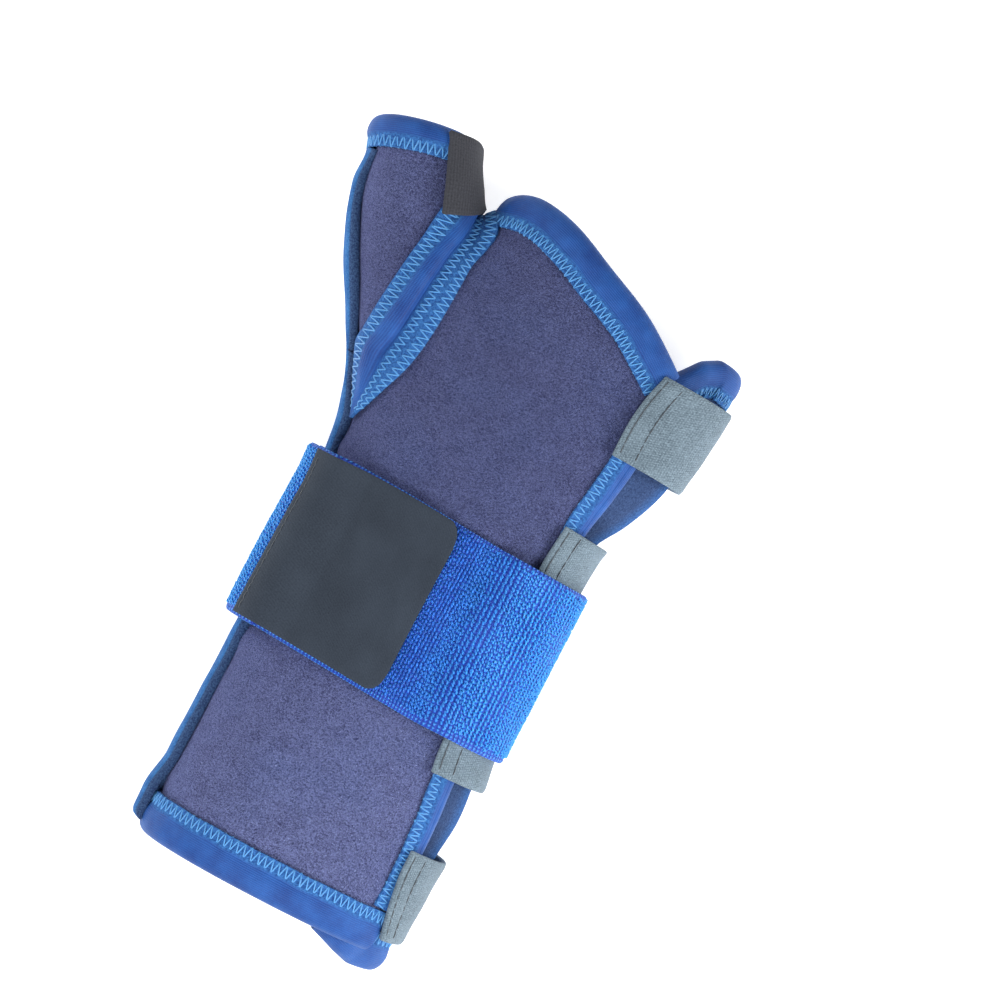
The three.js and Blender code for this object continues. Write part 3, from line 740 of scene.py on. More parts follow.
def gusset_guides():
    plain_y = np.linspace(0.182, 0.415, 14) * SPLINT_LENGTH
    left = np.maximum(plan_x(GUSSET_LEFT, plain_y), plan_x(STRIP_EDGE, plain_y) + GAP)
    right = plan_x(GUSSET_RIGHT, plain_y)
    steps = np.linspace(0, 1, 13)
    rows = [from_above(mix(a, b, steps), np.full(len(steps), y)) for a, b, y in zip(left, right, plain_y)]
    middles = web_point(np.radians([27, 17, 7, -3, -13, -23, -33, -42, -48]))
    ahead, behind = middles[2:], middles[:-2]
    middles = middles[1:-1]
    side = unit(np.cross(unit(ahead - behind), unit(slope(middles))))
    left_reach = np.linspace(13.5, 10, len(middles))
    right_reach = np.linspace(6.5, 4.5, len(middles))
    for middle, way, left_end, right_end in zip(middles, side, left_reach, right_reach):
        left_stops = walked(middle[None], -way[None], np.linspace(0, left_end, 8)[1:])
        right_stops = walked(middle[None], way[None], np.linspace(0, right_end, 6)[1:])
        path = np.array([stop[0] for stop in (*left_stops[::-1], [middle], *right_stops)])
        reach = reach_along(path)
        rows.append(settle(walk_along(path, reach, np.linspace(0, reach[-1], len(steps)))))
    return np.array(rows)


def through(guides, v):
    """Points on smooth curves through guide rows, v from 0 to 1 along their length."""
    reach = reach_along(guides[:, guides.shape[1] // 2])
    curve = Table(*[(r, *row.reshape(-1)) for r, row in zip(reach, guides)])
    values = np.stack(curve(v * reach[-1]), axis=-1)
    return values.reshape(len(v), -1, 3), reach[-1]


GUSSET_GUIDES = gusset_guides()


def gusset_base(u, v):
    levels = np.unique(np.round(v, 6))
    rows, length = through(GUSSET_GUIDES, levels)
    row = np.searchsorted(levels, np.round(v, 6))
    steps = np.linspace(0, 1, rows.shape[1])
    place = np.clip(u, 0, 1) * (len(steps) - 1)
    low = np.minimum(place.astype(int), len(steps) - 2)
    part = (place - low)[:, None]
    points = rows[row, low] * (1 - part) + rows[row, low + 1] * part
    return settle(points), length


ROLL_MIDDLE, ROLL_END = 0.36, 0.52


def gusset_level(u, v):
    """A rolled band beside the thumb panel, stepping down to a flat band by the dorsal panel."""
    shape = smooth(v, 0.02, 0.25)
    roll = 1.5 * np.clip(1 - ((u - ROLL_MIDDLE) / 0.155) ** 2, 0, 1) ** 0.6 * shape
    step = -0.75 * smooth(u, ROLL_END - 0.03, ROLL_END) * (1 - smooth(u, 0.58, 0.8)) * shape
    seam = -0.28 * (hump(u, 0.12, 0.07) + hump(u, 0.9, 0.05))
    edges = -0.62 * smooth(np.abs(2 * u - 1), 0.8, 1)
    return GUSSET_TOP + roll + step + seam + edges


def gusset_place(u, v):
    points, length = gusset_base(u, v)
    pull = 0.1 * ripple(u * GUSSET_WIDTH, v * length, 3, 7) * hump(u, ROLL_MIDDLE, 0.15)
    return lifted(points, gusset_level(u, v) + pull), columns(u * GUSSET_WIDTH, v * length)


# Bindings folded round the panels' edges

FOLD_RADIUS = PANEL / 2 + BINDING_TOP
BINDING_ROW = 0.75
STITCH_PITCH = 2.0
THREAD = 0.21


class Binding:
    """The face of a folded binding: u runs from the outer leaf's edge over the fold to the inner leaf."""

    def __init__(self, path, leaf, side, drop=0.0, ring=False):
        ahead = np.roll(path, -1, axis=0)
        behind = np.roll(path, 1, axis=0)
        if ring:
            ahead[-1], behind[0] = path[1], path[-2]
        else:
            ahead[-1], behind[0] = path[-1], path[0]
        self.leaf = leaf
        self.ring = ring
        inward = unit(np.cross(unit(slope(path)), unit(ahead - behind))) * side
        stops = [stop for stop in (0.0, 0.9, 1.8, 2.8, 3.8, 4.8, 5.8, 6.8) if stop < leaf] + [leaf]
        inner = walked(path, inward, stops)
        outer = walked(path, inward, [-0.9, -1.8, -2.7])
        self.stops = np.array([-2.7, -1.8, -0.9] + stops)
        self.points = np.array(outer[::-1] + inner)
        self.ups = np.array([unit(slope(p)) for p in self.points])
        self.drop = np.broadcast_to(drop, len(path))
        reach = reach_along(path)
        self.length = float(reach[-1])
        self.reach = reach / self.length

    def at(self, along, inward, level):
        """Points by the share along the edge, the distance in from it and the level."""
        row = np.interp(along, self.reach, np.arange(len(self.reach)))
        column = np.interp(inward, self.stops, np.arange(len(self.stops)))
        r0 = np.minimum(row.astype(int), len(self.reach) - 2)
        c0 = np.minimum(column.astype(int), len(self.stops) - 2)
        fr = (row - r0)[:, None]
        fc = (column - c0)[:, None]

        def blend(values):
            low = values[c0, r0] * (1 - fr) + values[c0, r0 + 1] * fr
            high = values[c0 + 1, r0] * (1 - fr) + values[c0 + 1, r0 + 1] * fr
            return low * (1 - fc) + high * fc

        drop = np.interp(along, self.reach, self.drop)
        return blend(self.points) + unit(blend(self.ups)) * (level + drop)[:, None]

    def profile(self, u):
        """Distance in from the edge, level and way gone over the face, by the share of the profile."""
        arc = math.pi * FOLD_RADIUS
        whole = 2 * self.leaf + arc
        walk = u * whole
        turn = np.clip((walk - self.leaf) / arc, 0, 1) * math.pi
        on_fold = (walk > self.leaf) & (walk < self.leaf + arc)
        inward = np.where(walk <= self.leaf, self.leaf - walk, walk - self.leaf - arc)
        inward = np.where(on_fold, -FOLD_RADIUS * np.sin(turn), np.maximum(inward, 0))
        level = -PANEL / 2 + FOLD_RADIUS * np.cos(turn)
        return inward, level, walk

    def place(self, seed, groove):
        def laid(u, v):
            inward, level, walk = self.profile(u)
            far = self.leaf
            outer = walk < self.leaf + math.pi * FOLD_RADIUS / 2
            along = v * self.length
            stitched = hump(inward, far - 1.9, 1.5)
            puffed = hump(inward, 0.25 * far, 0.33 * far)
            open_row = smooth(np.minimum(v, 1 - v) * self.length, 0, 3)
            rows = (0.5 + 0.5 * np.sin(along * TURN / STITCH_PITCH)) * open_row
            change = 0.5 * puffed - (0.22 + 0.1 * rows) * stitched
            change += 0.12 * ripple(along, walk, seed, 9) * puffed * open_row
            change -= groove * hump(inward, 0.5, 0.35)
            level = level + np.where(outer, change * smooth(inward, -2.2, 0.5), 0)
            inward = inward + 0.16 * ripple(along, 0 * walk, seed + 1, 13) * (inward > 0.5 * far) * open_row
            return self.at(v, inward, level), columns(walk, along)
        return laid


def proximal_path():
    start = float(np.degrees(dorsal_edge_angle(np.array([PROXIMAL_END * SPLINT_LENGTH]))[0]))
    turns = np.radians(np.linspace(start, PALM_END, 260))
    return on_tube(mouth_along(turns), turns), tongue_drop(turns)


def dorsal_distal_path():
    shares = np.linspace(0, 0.975, 138)
    return dorsal_point(dorsal_column(shares), shares)


def palmar_distal_path():
    turns = np.linspace(197, PALM_END, 190)
    end = palmar_end(turns)
    angle = palm_angle(end, turns)
    return on_tube(end, angle), tongue_drop(np.radians(turns))


def dorsal_edge_path():
    start = PROXIMAL_END * SPLINT_LENGTH + BINDING_LEAF + GAP
    end = float(dorsal_column(np.zeros(1))[0]) - BINDING_LEAF - 2 * GAP
    return dorsal_point(np.linspace(start, end, 190), 0)


def thumb_top_path():
    angle = np.linspace(0, TURN, 121)
    return on_thumb(thumb_mouth(angle), angle)


# The taped seam on the thumb side

STRIP_START, STRIP_STOP = -0.389, 0.494
NARROWEST_TAPE = 7
TAPE_DEPTH = 5
STRIP_GROOVE = 0.13


def strip_point(across, v):
    y = mix(STRIP_START, STRIP_STOP, v) * SPLINT_LENGTH
    top = from_above(plan_x(STRIP_EDGE, y), y)[:, 2]
    low = mix(0.4, 0.3, smooth(v, 0.5, 0.9)) * FOREARM_HEIGHT
    return from_thumb_side(y, mix(np.maximum(top, low + NARROWEST_TAPE), low, across))


def strip_place(u, v):
    """A raised tape, crowned across, with a sewn groove between its inner and outer bands."""
    points = strip_point(u, v)
    crown = np.clip(1 - (2 * u - 1) ** 4, 0, 1) ** 0.5
    over_edging = BINDING_TOP + 0.35
    under = 0.08 + over_edging * (1 - smooth(v, 0.046, 0.052))
    shelf = over_edging * (1 - smooth(v, 0.046, 0.105))
    groove = -0.6 * hump(u, STRIP_GROOVE, 0.03)
    end = np.clip(1 - (1 - np.clip(v / 0.014, 0, 1)) ** 2, 0, 1) ** 0.5
    along = v * SPLINT_LENGTH * (STRIP_STOP - STRIP_START)
    wave = 0.12 * ripple(along, u * 10, 12, 12) * crown
    body = 0.25 + (STRIP_TOP + 0.1) * crown * (0.2 + 0.8 * end) + groove * crown + wave
    face = 0.08 + shelf + body * (1 - 0.65 * smooth(v, 0.95, 1))
    return lifted(points, face), columns(u * TAPE_WIDTH, along), face - under


# Tabs and straps

TAB_END = math.radians(-22)

# Tabs: the middle of each along the splint, where its sewn edge starts at both corners, and its
# cut length in metres
TABS = {
    "closure_tab_1": (0.3505, 0.425, 0.388, 0.053),
    "closure_tab_2": (0.129, 0.359, 0.359, 0.04),
    "closure_tab_3": (-0.1026, 0.336, 0.345, 0.044),
    "closure_tab_4": (-0.318, 0.409, 0.452, 0.037),
}


def tab_angles(name, down):
    along, far, near, _ = TABS[name]
    y = along * SPLINT_LENGTH + TAB_WIDTH * (0.5 - down)
    return y, tube_angle(from_above(mix(far, near, down) * FOREARM_WIDTH, y))


def tab_point(name, share, down):
    y, start = tab_angles(name, down)
    return on_tube(y, mix(start, TAB_END, share))


TAB_LINES = (0.04, 0.15)
TAB_BOW = 0.035


def bowed(share, down):
    """The share along a tab, bowed at its sewn end."""
    return share - TAB_BOW * np.sin(math.pi * down) * (1 - share)


def tab_place(name, seed):
    def laid(u, v):
        points = tab_point(name, bowed(u, v), v)
        edge = np.minimum(np.minimum(u, 1 - u) * TAB_REACH, np.minimum(v, 1 - v) * TAB_WIDTH)
        droop = -0.35 * (1 - smooth(edge, 0, 1.2))
        lines = sum(-0.22 * hump(u * TAB_REACH, line * TAB_REACH, 0.6) for line in TAB_LINES)
        level = TAB_TOP + droop + lines + 0.12 * ripple(u * TAB_REACH, v * TAB_WIDTH, seed, 14)
        return lifted(points, level), columns(u * TAB_REACH, v * TAB_WIDTH)
    return laid


STRAP_ALONG = 0.0075
STRAP_LEVEL = stepped(
    (-209, OVER_STRIP + SECOND_LAYER), (-164, OVER_STRIP + SECOND_LAYER), (-156, GAP + SECOND_LAYER),
    (-145, GAP), (-36, GAP), (-27, OVER_TAB), (45, OVER_TAB), (57, GAP), (150, GAP), (161, OVER_STRIP),
    (194, OVER_STRIP), (203, GAP),
)
STRAP_FROM, STRAP_TO = 203, -208


def strap_point(turn, share):
    """Points on the panels under the wrist strap, by degrees round and the share across it."""
    turn = np.radians(turn)
    tilt = -0.02 * FOREARM_WIDTH * np.cos(turn)
    y = STRAP_ALONG * SPLINT_LENGTH + tilt + STRAP_WIDTH * (share - 0.5)
    return on_tube(y, turn)


SELVEDGE = 1.6


def strap_place(u, v):
    turn = mix(STRAP_FROM, STRAP_TO, v)
    points = strap_point(turn, u)
    level = STRAP_LEVEL(turn) + STRAP
    edge = np.minimum(u, 1 - u) * STRAP_WIDTH
    rim = -0.45 * (1 - smooth(edge, 0, 1.1)) - 0.2 * hump(edge, SELVEDGE, 0.4)
    along = (STRAP_FROM - turn) * ARC_PER_DEGREE
    loose = smooth(points[:, 2], 3, 12)
    wave = 0.16 * ripple(along, u * STRAP_WIDTH, 21, 30) * loose
    return lifted(points, level + rim * loose + wave), columns(u * STRAP_WIDTH, along)


LOOP_ROW, LOOP_STEP, LOOP_YARN = 1.38, 1.12, 0.27


def strap_loops():
    """Rows of small raised loops across the elastic's face, as lists of points."""
    rng = np.random.default_rng(88)
    paths = []
    for first, last in ((116, -42), (-140, -207)):
        for turn in np.arange(first, last, -LOOP_ROW / ARC_PER_DEGREE):
            spots = np.arange(SELVEDGE + 0.2, STRAP_WIDTH - SELVEDGE - 0.9, LOOP_STEP)
            spots = spots + rng.uniform(-0.25, 0.25, len(spots)) + rng.uniform(0, LOOP_STEP)
            size = rng.uniform(0.75, 1.15, len(spots))
            steps = np.array([0.0, 0.22, 0.7, 0.95])
            rise = np.array([-0.3, 0.34, 0.4, -0.3])
            across = (spots[:, None] + steps * size[:, None]).ravel() / STRAP_WIDTH
            lean = (rng.uniform(-0.22, 0.22, len(spots))[:, None] + np.array([-0.2, 0.0, 0.14, 0.22])).ravel()
            turns = turn + lean / ARC_PER_DEGREE
            points = strap_point(turns, across)
            level = STRAP_LEVEL(turns) + STRAP + (rise * rng.uniform(0.7, 1.1, len(spots))[:, None]).ravel()
            paths += list(lifted(points, level).reshape(len(spots), 4, 3))
    return paths


HOOK_FROM, HOOK_TO = 161, 82
HOOK_LEVEL = stepped(
    (80, GAP + SECOND_LAYER), (138, GAP + SECOND_LAYER), (150.5, OVER_STRIP + 2 * SECOND_LAYER - 0.4),
    (154, OVER_STRIP + 2 * SECOND_LAYER), (180, OVER_STRIP + 2 * SECOND_LAYER),
)
HOOK_CORNER = 6
HOOK_LINE = 0.03


def hook_point(across, v):
    turn = mix(HOOK_FROM, HOOK_TO, v)
    return strap_point(turn, mix(0.02, 0.99, across)), turn


def hook_place(u, v):
    length = (HOOK_FROM - HOOK_TO) * ARC_PER_DEGREE
    to_end = (1 - v) * length
    inset = np.where(to_end < HOOK_CORNER,
                     HOOK_CORNER - np.sqrt(np.clip(HOOK_CORNER**2 - (HOOK_CORNER - to_end) ** 2, 0, None)), 0)
    width = STRAP_WIDTH * 0.97
    across = 0.5 + (u - 0.5) * (1 - 2 * inset / width)
    points, turn = hook_point(across, v)
    edge = np.minimum(np.minimum(across, 1 - across) * width - inset, np.minimum(to_end, v * length))
    press = -0.2 * (1 - smooth(edge, 0, 0.9))
    line = -0.16 * hump(v * length, HOOK_LINE * length, 0.5)
    wave = 0.1 * ripple(v * length, across * width, 33, 22) * smooth(edge, 0, 6)
    level = HOOK_LEVEL(turn) + HOOK_TAB + press + line + wave
    return lifted(points, level), columns(across * width, v * length)


ABOVE_WEB = 0.9


def thumb_strap_point(across, share):
    angle = mix(math.radians(62), math.radians(-105), share)
    end = thumb_mouth(angle) + 1.4
    low = np.maximum(end - THUMB_STRAP_WIDTH, web_reach() + ABOVE_WEB)
    return on_thumb(mix(low, end, across), angle)


def thumb_strap_place(u, v):
    edge = np.minimum(u, 1 - u) * THUMB_STRAP_WIDTH
    rim = -0.3 * (1 - smooth(edge, 0, 1))
    level = mix(OVER_GUSSET, OVER_BINDING - GAP / 2, smooth(u, 0.35, 0.8)) + THUMB_STRAP
    level = level + rim + 0.1 * ripple(v * THUMB_STRAP_REACH, u * 23, 5, 12)
    return lifted(thumb_strap_point(u, v), level), columns(u * THUMB_STRAP_WIDTH, v * THUMB_STRAP_REACH)


# Stitches as real thread

TUCK = 0.25
ROW_START, ROW_END = 0.03, 0.985
LOCK_STITCH, LOCK_GAP, LOCK_THREAD, SUNK = 2.4, 0.12, 0.15, 0.12
STITCH_RISE = (-0.16, 0.02, 0.05, 0.02, -0.16)


def threads(name, paths, radius, sides=1):
    """Thread laid along lists of points in the layout frame."""
    curve = bpy.data.curves.new(name, "CURVE")
    curve.dimensions = "3D"
    curve.bevel_depth = radius * MILLIMETRE
    curve.bevel_resolution = sides
    curve.use_fill_caps = True
    for path in paths:
        line = curve.splines.new("POLY")
        line.points.add(len(path) - 1)
        places = set_down(path, radius)
        line.points.foreach_set("co", np.hstack([places, np.ones((len(path), 1))]).ravel())
    return put(name, curve)


def zigzag(length, low, high, seed):
    """Shares along a row, distances across it and levels of a zigzag's points."""
    rng = np.random.default_rng(seed)
    count = int(length / STITCH_PITCH * 2)
    corners = np.arange(count + 1)
    along = (corners + rng.uniform(-0.14, 0.14, count + 1)) / count
    across = np.where(corners % 2 == 0, low, high) + rng.uniform(-0.05, 0.05, count + 1) * (high - low)
    spots = []
    for a0, c0, a1, c1 in zip(along, across, along[1:], across[1:]):
        for step, rise in ((0.0, -TUCK), (0.14, 0.0), (0.5, 0.05), (0.86, 0.0)):
            spots.append((mix(a0, a1, step), mix(c0, c1, step), rise))
    spots.append((along[-1], across[-1], -TUCK))
    spots = np.array(spots)
    return np.clip(spots[:, 0], 0, 1), spots[:, 1], spots[:, 2]


def binding_zigzag(binding, seed):
    along, inward, rise = zigzag(binding.length, binding.leaf - 3.6, binding.leaf + 0.35, seed)
    beyond = smooth(inward, binding.leaf - 0.3, binding.leaf + 0.2)
    level = BINDING_TOP - 0.1 - beyond * 0.45 + rise
    return binding.at(along, np.minimum(inward, binding.leaf), level)


def gusset_zigzag(low, high, seed):
    length = through(GUSSET_GUIDES, np.array([0.0]))[1]
    along, across, rise = zigzag(length * (ROW_END - ROW_START), low, high, seed)
    along = mix(ROW_START, ROW_END, along)
    return lifted(gusset_base(across, along)[0], gusset_level(across, along) + 0.08 + rise)


def lock_stitches(points, level):
    """Short straight stitches along a line of points."""
    reach = reach_along(points)
    raised = lifted(points, level)
    paths = []
    for start in np.arange(0.4, reach[-1] - LOCK_STITCH, LOCK_STITCH + LOCK_GAP):
        path = walk_along(raised, reach, np.linspace(start, start + LOCK_STITCH, len(STITCH_RISE)))
        paths.append(lifted(path, STITCH_RISE))
    return paths


# Materials

class Value:
    """A number, colour or place in a material, usable in sums."""

    def __init__(self, fabric, socket):
        self.fabric = fabric
        self.socket = socket

    def __add__(self, other):
        return self.fabric.maths("ADD", self, other)

    def __sub__(self, other):
        return self.fabric.maths("SUBTRACT", self, other)

    def __rsub__(self, other):
        return self.fabric.maths("SUBTRACT", other, self)

    def __mul__(self, other):
        return self.fabric.maths("MULTIPLY", self, other)

    def __truediv__(self, other):
        return self.fabric.maths("DIVIDE", self, other)

    def __pow__(self, other):
        return self.fabric.maths("POWER", self, other)

    __radd__, __rmul__ = __add__, __mul__

    def limited(self):
        self.socket.node.use_clamp = True
        return self


def linear(colour):
    """A colour as the eye sees it, 0 to 255, as light."""
    share = np.array(colour) / 255
    light = np.where(share <= 0.04045, share / 12.92, ((share + 0.055) / 1.055) ** 2.4)
    return (*light, 1.0)


class Fabric:
    """A material in the making."""

    def __init__(self, name, sheen, sheen_tint, specular):
        self.material = bpy.data.materials.new(name)
        self.material.use_nodes = True
        self.tree = self.material.node_tree
        self.shader = self.tree.nodes["Principled BSDF"]
        for socket, value in (("Sheen Weight", sheen), ("Sheen Roughness", 0.45),
                              ("Sheen Tint", linear(sheen_tint)), ("Specular IOR Level", specular)):
            self.shader.inputs[socket].default_value = value

    def feed(self, socket, value):
        if isinstance(value, Value):
            self.tree.links.new(value.socket, socket)
        else:
            socket.default_value = value

    def node(self, kind, settings, *values, **named):
        """A node of a kind with its settings, fed in the order of its sockets or by their names."""
        made = self.tree.nodes.new("ShaderNode" + kind)
        for name, value in settings.items():
            setattr(made, name, value)
        for socket, value in zip(made.inputs, values):
            self.feed(socket, value)
        for name, value in named.items():
            self.feed(made.inputs[name], value)
        return made

    def maths(self, operation, *values):
        return Value(self, self.node("Math", {"operation": operation}, *values).outputs[0])

    def wave(self, value, pitch):
        """A share that rises and falls once in each pitch."""
        return self.maths("SINE", value * (TURN / pitch)) * 0.5 + 0.5

    def place(self):
        """Where a point is on the object, in millimetres."""
        spot = Value(self, self.node("TexCoord", {}).outputs["Object"])
        return Value(self, self.node("VectorMath", {"operation": "SCALE"}, spot, Scale=1000.0).outputs[0])

    def parts(self, place):
        split = self.node("SeparateXYZ", {}, place)
        return Value(self, split.outputs["X"]), Value(self, split.outputs["Y"])

    def on_cloth(self):
        """Where a point is on the flat cloth, in millimetres: both ways at once, across and along."""
        flat = Value(self, self.node("UVMap", {"uv_map": "cloth"}).outputs[0])
        return flat, *self.parts(flat)

    def noise(self, place, scale, detail=2.0, roughness=0.5, warp=0.0):
        made = self.node("TexNoise", {}, Vector=place, Scale=scale, Detail=detail, Roughness=roughness,
                         Distortion=warp)
        return Value(self, made.outputs["Fac"])

    def between(self, share, low, high):
        """A colour between two, by a share; a plain one is given as the eye sees it, 0 to 255."""
        made = self.node("Mix", {"data_type": "RGBA"}, share)
        for socket, colour in zip(made.inputs[6:8], (low, high)):
            self.feed(socket, colour if isinstance(colour, Value) else linear(colour))
        return Value(self, made.outputs[2])

    def ramp(self, value, low, high):
        """A share that rises from 0 at low to 1 at high."""
        return ((value - low) / (high - low)).limited()

    def finish(self, colour, roughness, height, depth, strength=1.0):
        bump = self.node("Bump", {}, Height=height, Distance=depth * MILLIMETRE, Strength=strength)
        self.feed(self.shader.inputs["Base Color"], colour)
        self.feed(self.shader.inputs["Roughness"], roughness)
        self.tree.links.new(bump.outputs["Normal"], self.shader.inputs["Normal"])
        return self.material


def brushed_fabric():
    """A brushed loop-pile laminate: a short felted nap, mottled at random, with pale fibres brightened by a
    painted highlight towards its right side and painted shade towards the fingers.
    """
    fabric = Fabric("brushed_fabric_navy", 0.45, (150, 156, 215), 0.12)
    place = fabric.place()
    tufts = fabric.noise(place, 2.2, 2.0, 0.6, 0.4)
    fine = fabric.noise(place, 4.6, 2.0, 0.6)
    broad = fabric.noise(place, 0.05, 2.0)
    patches = fabric.noise(place, 0.22, 2.0, 0.6)
    share = fabric.ramp(tufts * 0.65 + fine * 0.35 + (patches - 0.5) * 0.12, 0.4, 0.6)
    colour = fabric.between(share, (38, 42, 76), (114, 124, 174))
    worn = fabric.between(fabric.ramp(broad, 0.4, 0.65), (70, 68, 106), (66, 80, 128))
    colour = fabric.between(0.22, colour, worn)
    # Pale fibre specks, the nap's own colour; the share named raised below brightens them towards the right
    # side and the forearm as a painted highlight of grazing light.
    fibres = fabric.ramp(fabric.noise(place, 3.0, 2.0, 0.7, 1.0), 0.56, 0.68)
    across, along = fabric.parts(place)
    raised = fabric.ramp(across - along * 0.45 + (patches - 0.5) * 40.0, 5, 55)
    colour = fabric.between(fibres * (0.45 + raised * 0.5), colour, (164, 178, 234))
    # Painted shade: the cloth is darkened towards the fingers along the splint, with less of it over the
    # thumb.
    darker = fabric.ramp(along - across * 0.5, -75, 15) * 0.34 - fabric.ramp(along - across, 100, 125) * 0.2
    colour = fabric.between(darker, colour, (40, 44, 80))
    height = tufts * 0.7 + fine * 0.4 + fibres * 0.5
    return fabric.finish(colour, 0.9 + fine * 0.08, height, 0.8, 1.0)


def palm_fabric():
    """The palmar panel's laminate: a darker, bluer loop face, shaded where the dorsal panel covers it."""
    fabric = Fabric("brushed_fabric_palm", 0.3, (90, 140, 220), 0.15)
    place = fabric.place()
    tufts = fabric.noise(place, 1.7, 3.0, 0.62, 0.6)
    fine = fabric.noise(place, 4.2, 2.0, 0.6)
    share = fabric.ramp(tufts * 0.7 + fine * 0.3, 0.34, 0.66)
    colour = fabric.between(share, (24, 52, 100), (56, 106, 168))
    covered = fabric.on_cloth()[1]
    shade = fabric.between(share, (32, 44, 74), (66, 84, 122))
    colour = fabric.between(fabric.ramp(covered, 221.5, 226.5) * 0.9, colour, shade)
    return fabric.finish(colour, 0.9, tufts * 0.7 + fine * 0.4, 0.6, 0.9)


def binding_fabric(name, *bands):
    """A smooth knitted binding with fine ribs along it, fuzzy in the bands under its zigzag rows."""
    fabric = Fabric(name, 0.12, (90, 160, 225), 0.3)
    _, across, along = fabric.on_cloth()
    place = fabric.place()
    ribs = fabric.wave(across, 0.55)
    courses = fabric.wave(along, 0.42)
    broad = fabric.noise(place, 0.16, 3.0)
    fine = fabric.noise(place, 3.0, 2.0)
    share = fabric.ramp(broad * 0.6 + fine * 0.25 + ribs * 0.15, 0.3, 0.7)
    colour = fabric.between(share, (15, 51, 118), (32, 86, 160))
    tufts = fabric.noise(place, 1.5, 3.0, 0.65, 0.6)
    sewn = fabric.between(fabric.ramp(tufts, 0.36, 0.62), (22, 64, 124), (56, 116, 180))
    band = sum(fabric.ramp(across, low - 0.5, low + 0.3) * fabric.ramp(across, high + 0.5, high - 0.3)
               for low, high in bands)
    colour = fabric.between(band * 0.8, colour, sewn)
    height = (ribs * 0.5 + courses * 0.3) * (1.0 - band) + fine * 0.4 + tufts * band * 4.0
    return fabric.finish(colour, 0.5 + fine * 0.18 + band * 0.2, height, 0.14, 0.8)


def tab_fabric():
    """Grey loop pile, with rows of short loops."""
    fabric = Fabric("tab_fabric_grey", 0.25, (190, 200, 210), 0.2)
    flat, across, along = fabric.on_cloth()
    rows = fabric.wave(along + across * 0.45, 0.66)
    warps = fabric.wave(across, 0.58)
    loops = Value(fabric, fabric.node("TexVoronoi", {}, Vector=flat, Scale=2.1).outputs["Distance"])
    fine = fabric.noise(flat, 2.2, 3.0, 0.6)
    broad = fabric.noise(fabric.place(), 0.12, 2.0)
    share = fabric.ramp(fine * 0.6 + loops * 0.3 + rows * warps * 0.22 + broad * 0.3, 0.35, 0.95)
    colour = fabric.between(share, (58, 71, 81), (126, 144, 156))
    return fabric.finish(colour, 0.88, rows * warps * 0.4 + fine * 0.8, 0.3, 0.8)


def strap_elastic():
    """Knitted elastic: ribs of bright loops across its width, with a plain selvedge."""
    fabric = Fabric("strap_elastic_blue", 0.4, (90, 170, 255), 0.4)
    flat, across, along = fabric.on_cloth()
    warp = fabric.noise(flat, 0.5, 2.0) - 0.5
    ribs = fabric.wave(along + warp * 0.5, 1.25)
    loops = fabric.wave(across + ribs * 0.35 + warp * 0.8, 1.05)
    fine = fabric.noise(flat, 2.4, 2.0, 0.6)
    knit = (ribs ** 0.8) * (0.35 + loops * 0.65)
    glint = fabric.ramp(knit * (0.55 + fine * 0.9), 0.38, 0.85)
    colour = fabric.between(fabric.ramp(knit + fine * 0.5, 0.15, 1.0), (8, 40, 140), (26, 86, 214))
    colour = fabric.between(glint * 0.75, colour, (84, 170, 250))
    return fabric.finish(colour, 0.62, knit * 1.0 + fine * 0.3, 0.75, 1.0)


def yarn():
    """The elastic's looped yarn, mottled, with painted light making it brighter and more cyan towards both
    sides of the wrist.
    """
    fabric = Fabric("strap_loop_yarn", 0.5, (100, 210, 255), 0.5)
    place = fabric.place()
    patch = fabric.noise(place, 0.75, 1.0)
    fine = fabric.noise(place, 3.2, 2.0)
    share = fabric.ramp(patch * 0.65 + fine * 0.35, 0.42, 0.68)
    colour = fabric.between(share, (8, 46, 156), (40, 116, 228))
    across = fabric.parts(place)[0]
    # Painted light: the yarn grows brighter and more cyan towards the right side and the left side of the
    # wrist.
    lit_sides = fabric.ramp(across, 12, 38) + fabric.ramp(across, -26, -35)
    colour = fabric.between(lit_sides * 0.5, colour, (60, 186, 255))
    return fabric.finish(colour, 0.45, fine, 0.06)


def hook_fabric():
    """A dense dark woven pile, plain over its whole face."""
    fabric = Fabric("hook_fabric_dark", 0.2, (150, 160, 170), 0.25)
    flat, across, along = fabric.on_cloth()
    twill = fabric.wave(across + along * 0.55, 0.8)
    fine = fabric.noise(flat, 2.4, 3.0, 0.6)
    broad = fabric.noise(flat, 0.07, 2.0)
    share = fabric.ramp(fine * 0.55 + twill * 0.06 + broad * 0.35, 0.3, 0.75)
    colour = fabric.between(share, (32, 39, 49), (56, 65, 77))
    return fabric.finish(colour, 0.85, twill * 0.15 + fine * 0.8, 0.14, 0.8)


def thumb_strap_fabric():
    """Black webbing with close ribs along it."""
    fabric = Fabric("thumb_strap_black", 0.15, (150, 150, 155), 0.25)
    flat, across, along = fabric.on_cloth()
    ribs = fabric.wave(along, 0.7)
    warps = fabric.wave(across, 1.1)
    fine = fabric.noise(flat, 2.2, 3.0)
    share = fabric.ramp(ribs * 0.12 + warps * 0.05 + fine * 0.7, 0.25, 0.75)
    colour = fabric.between(share, (42, 43, 48), (72, 73, 80))
    return fabric.finish(colour, 0.85, ribs * 0.4 + warps * 0.15 + fine * 0.6, 0.16, 0.8)


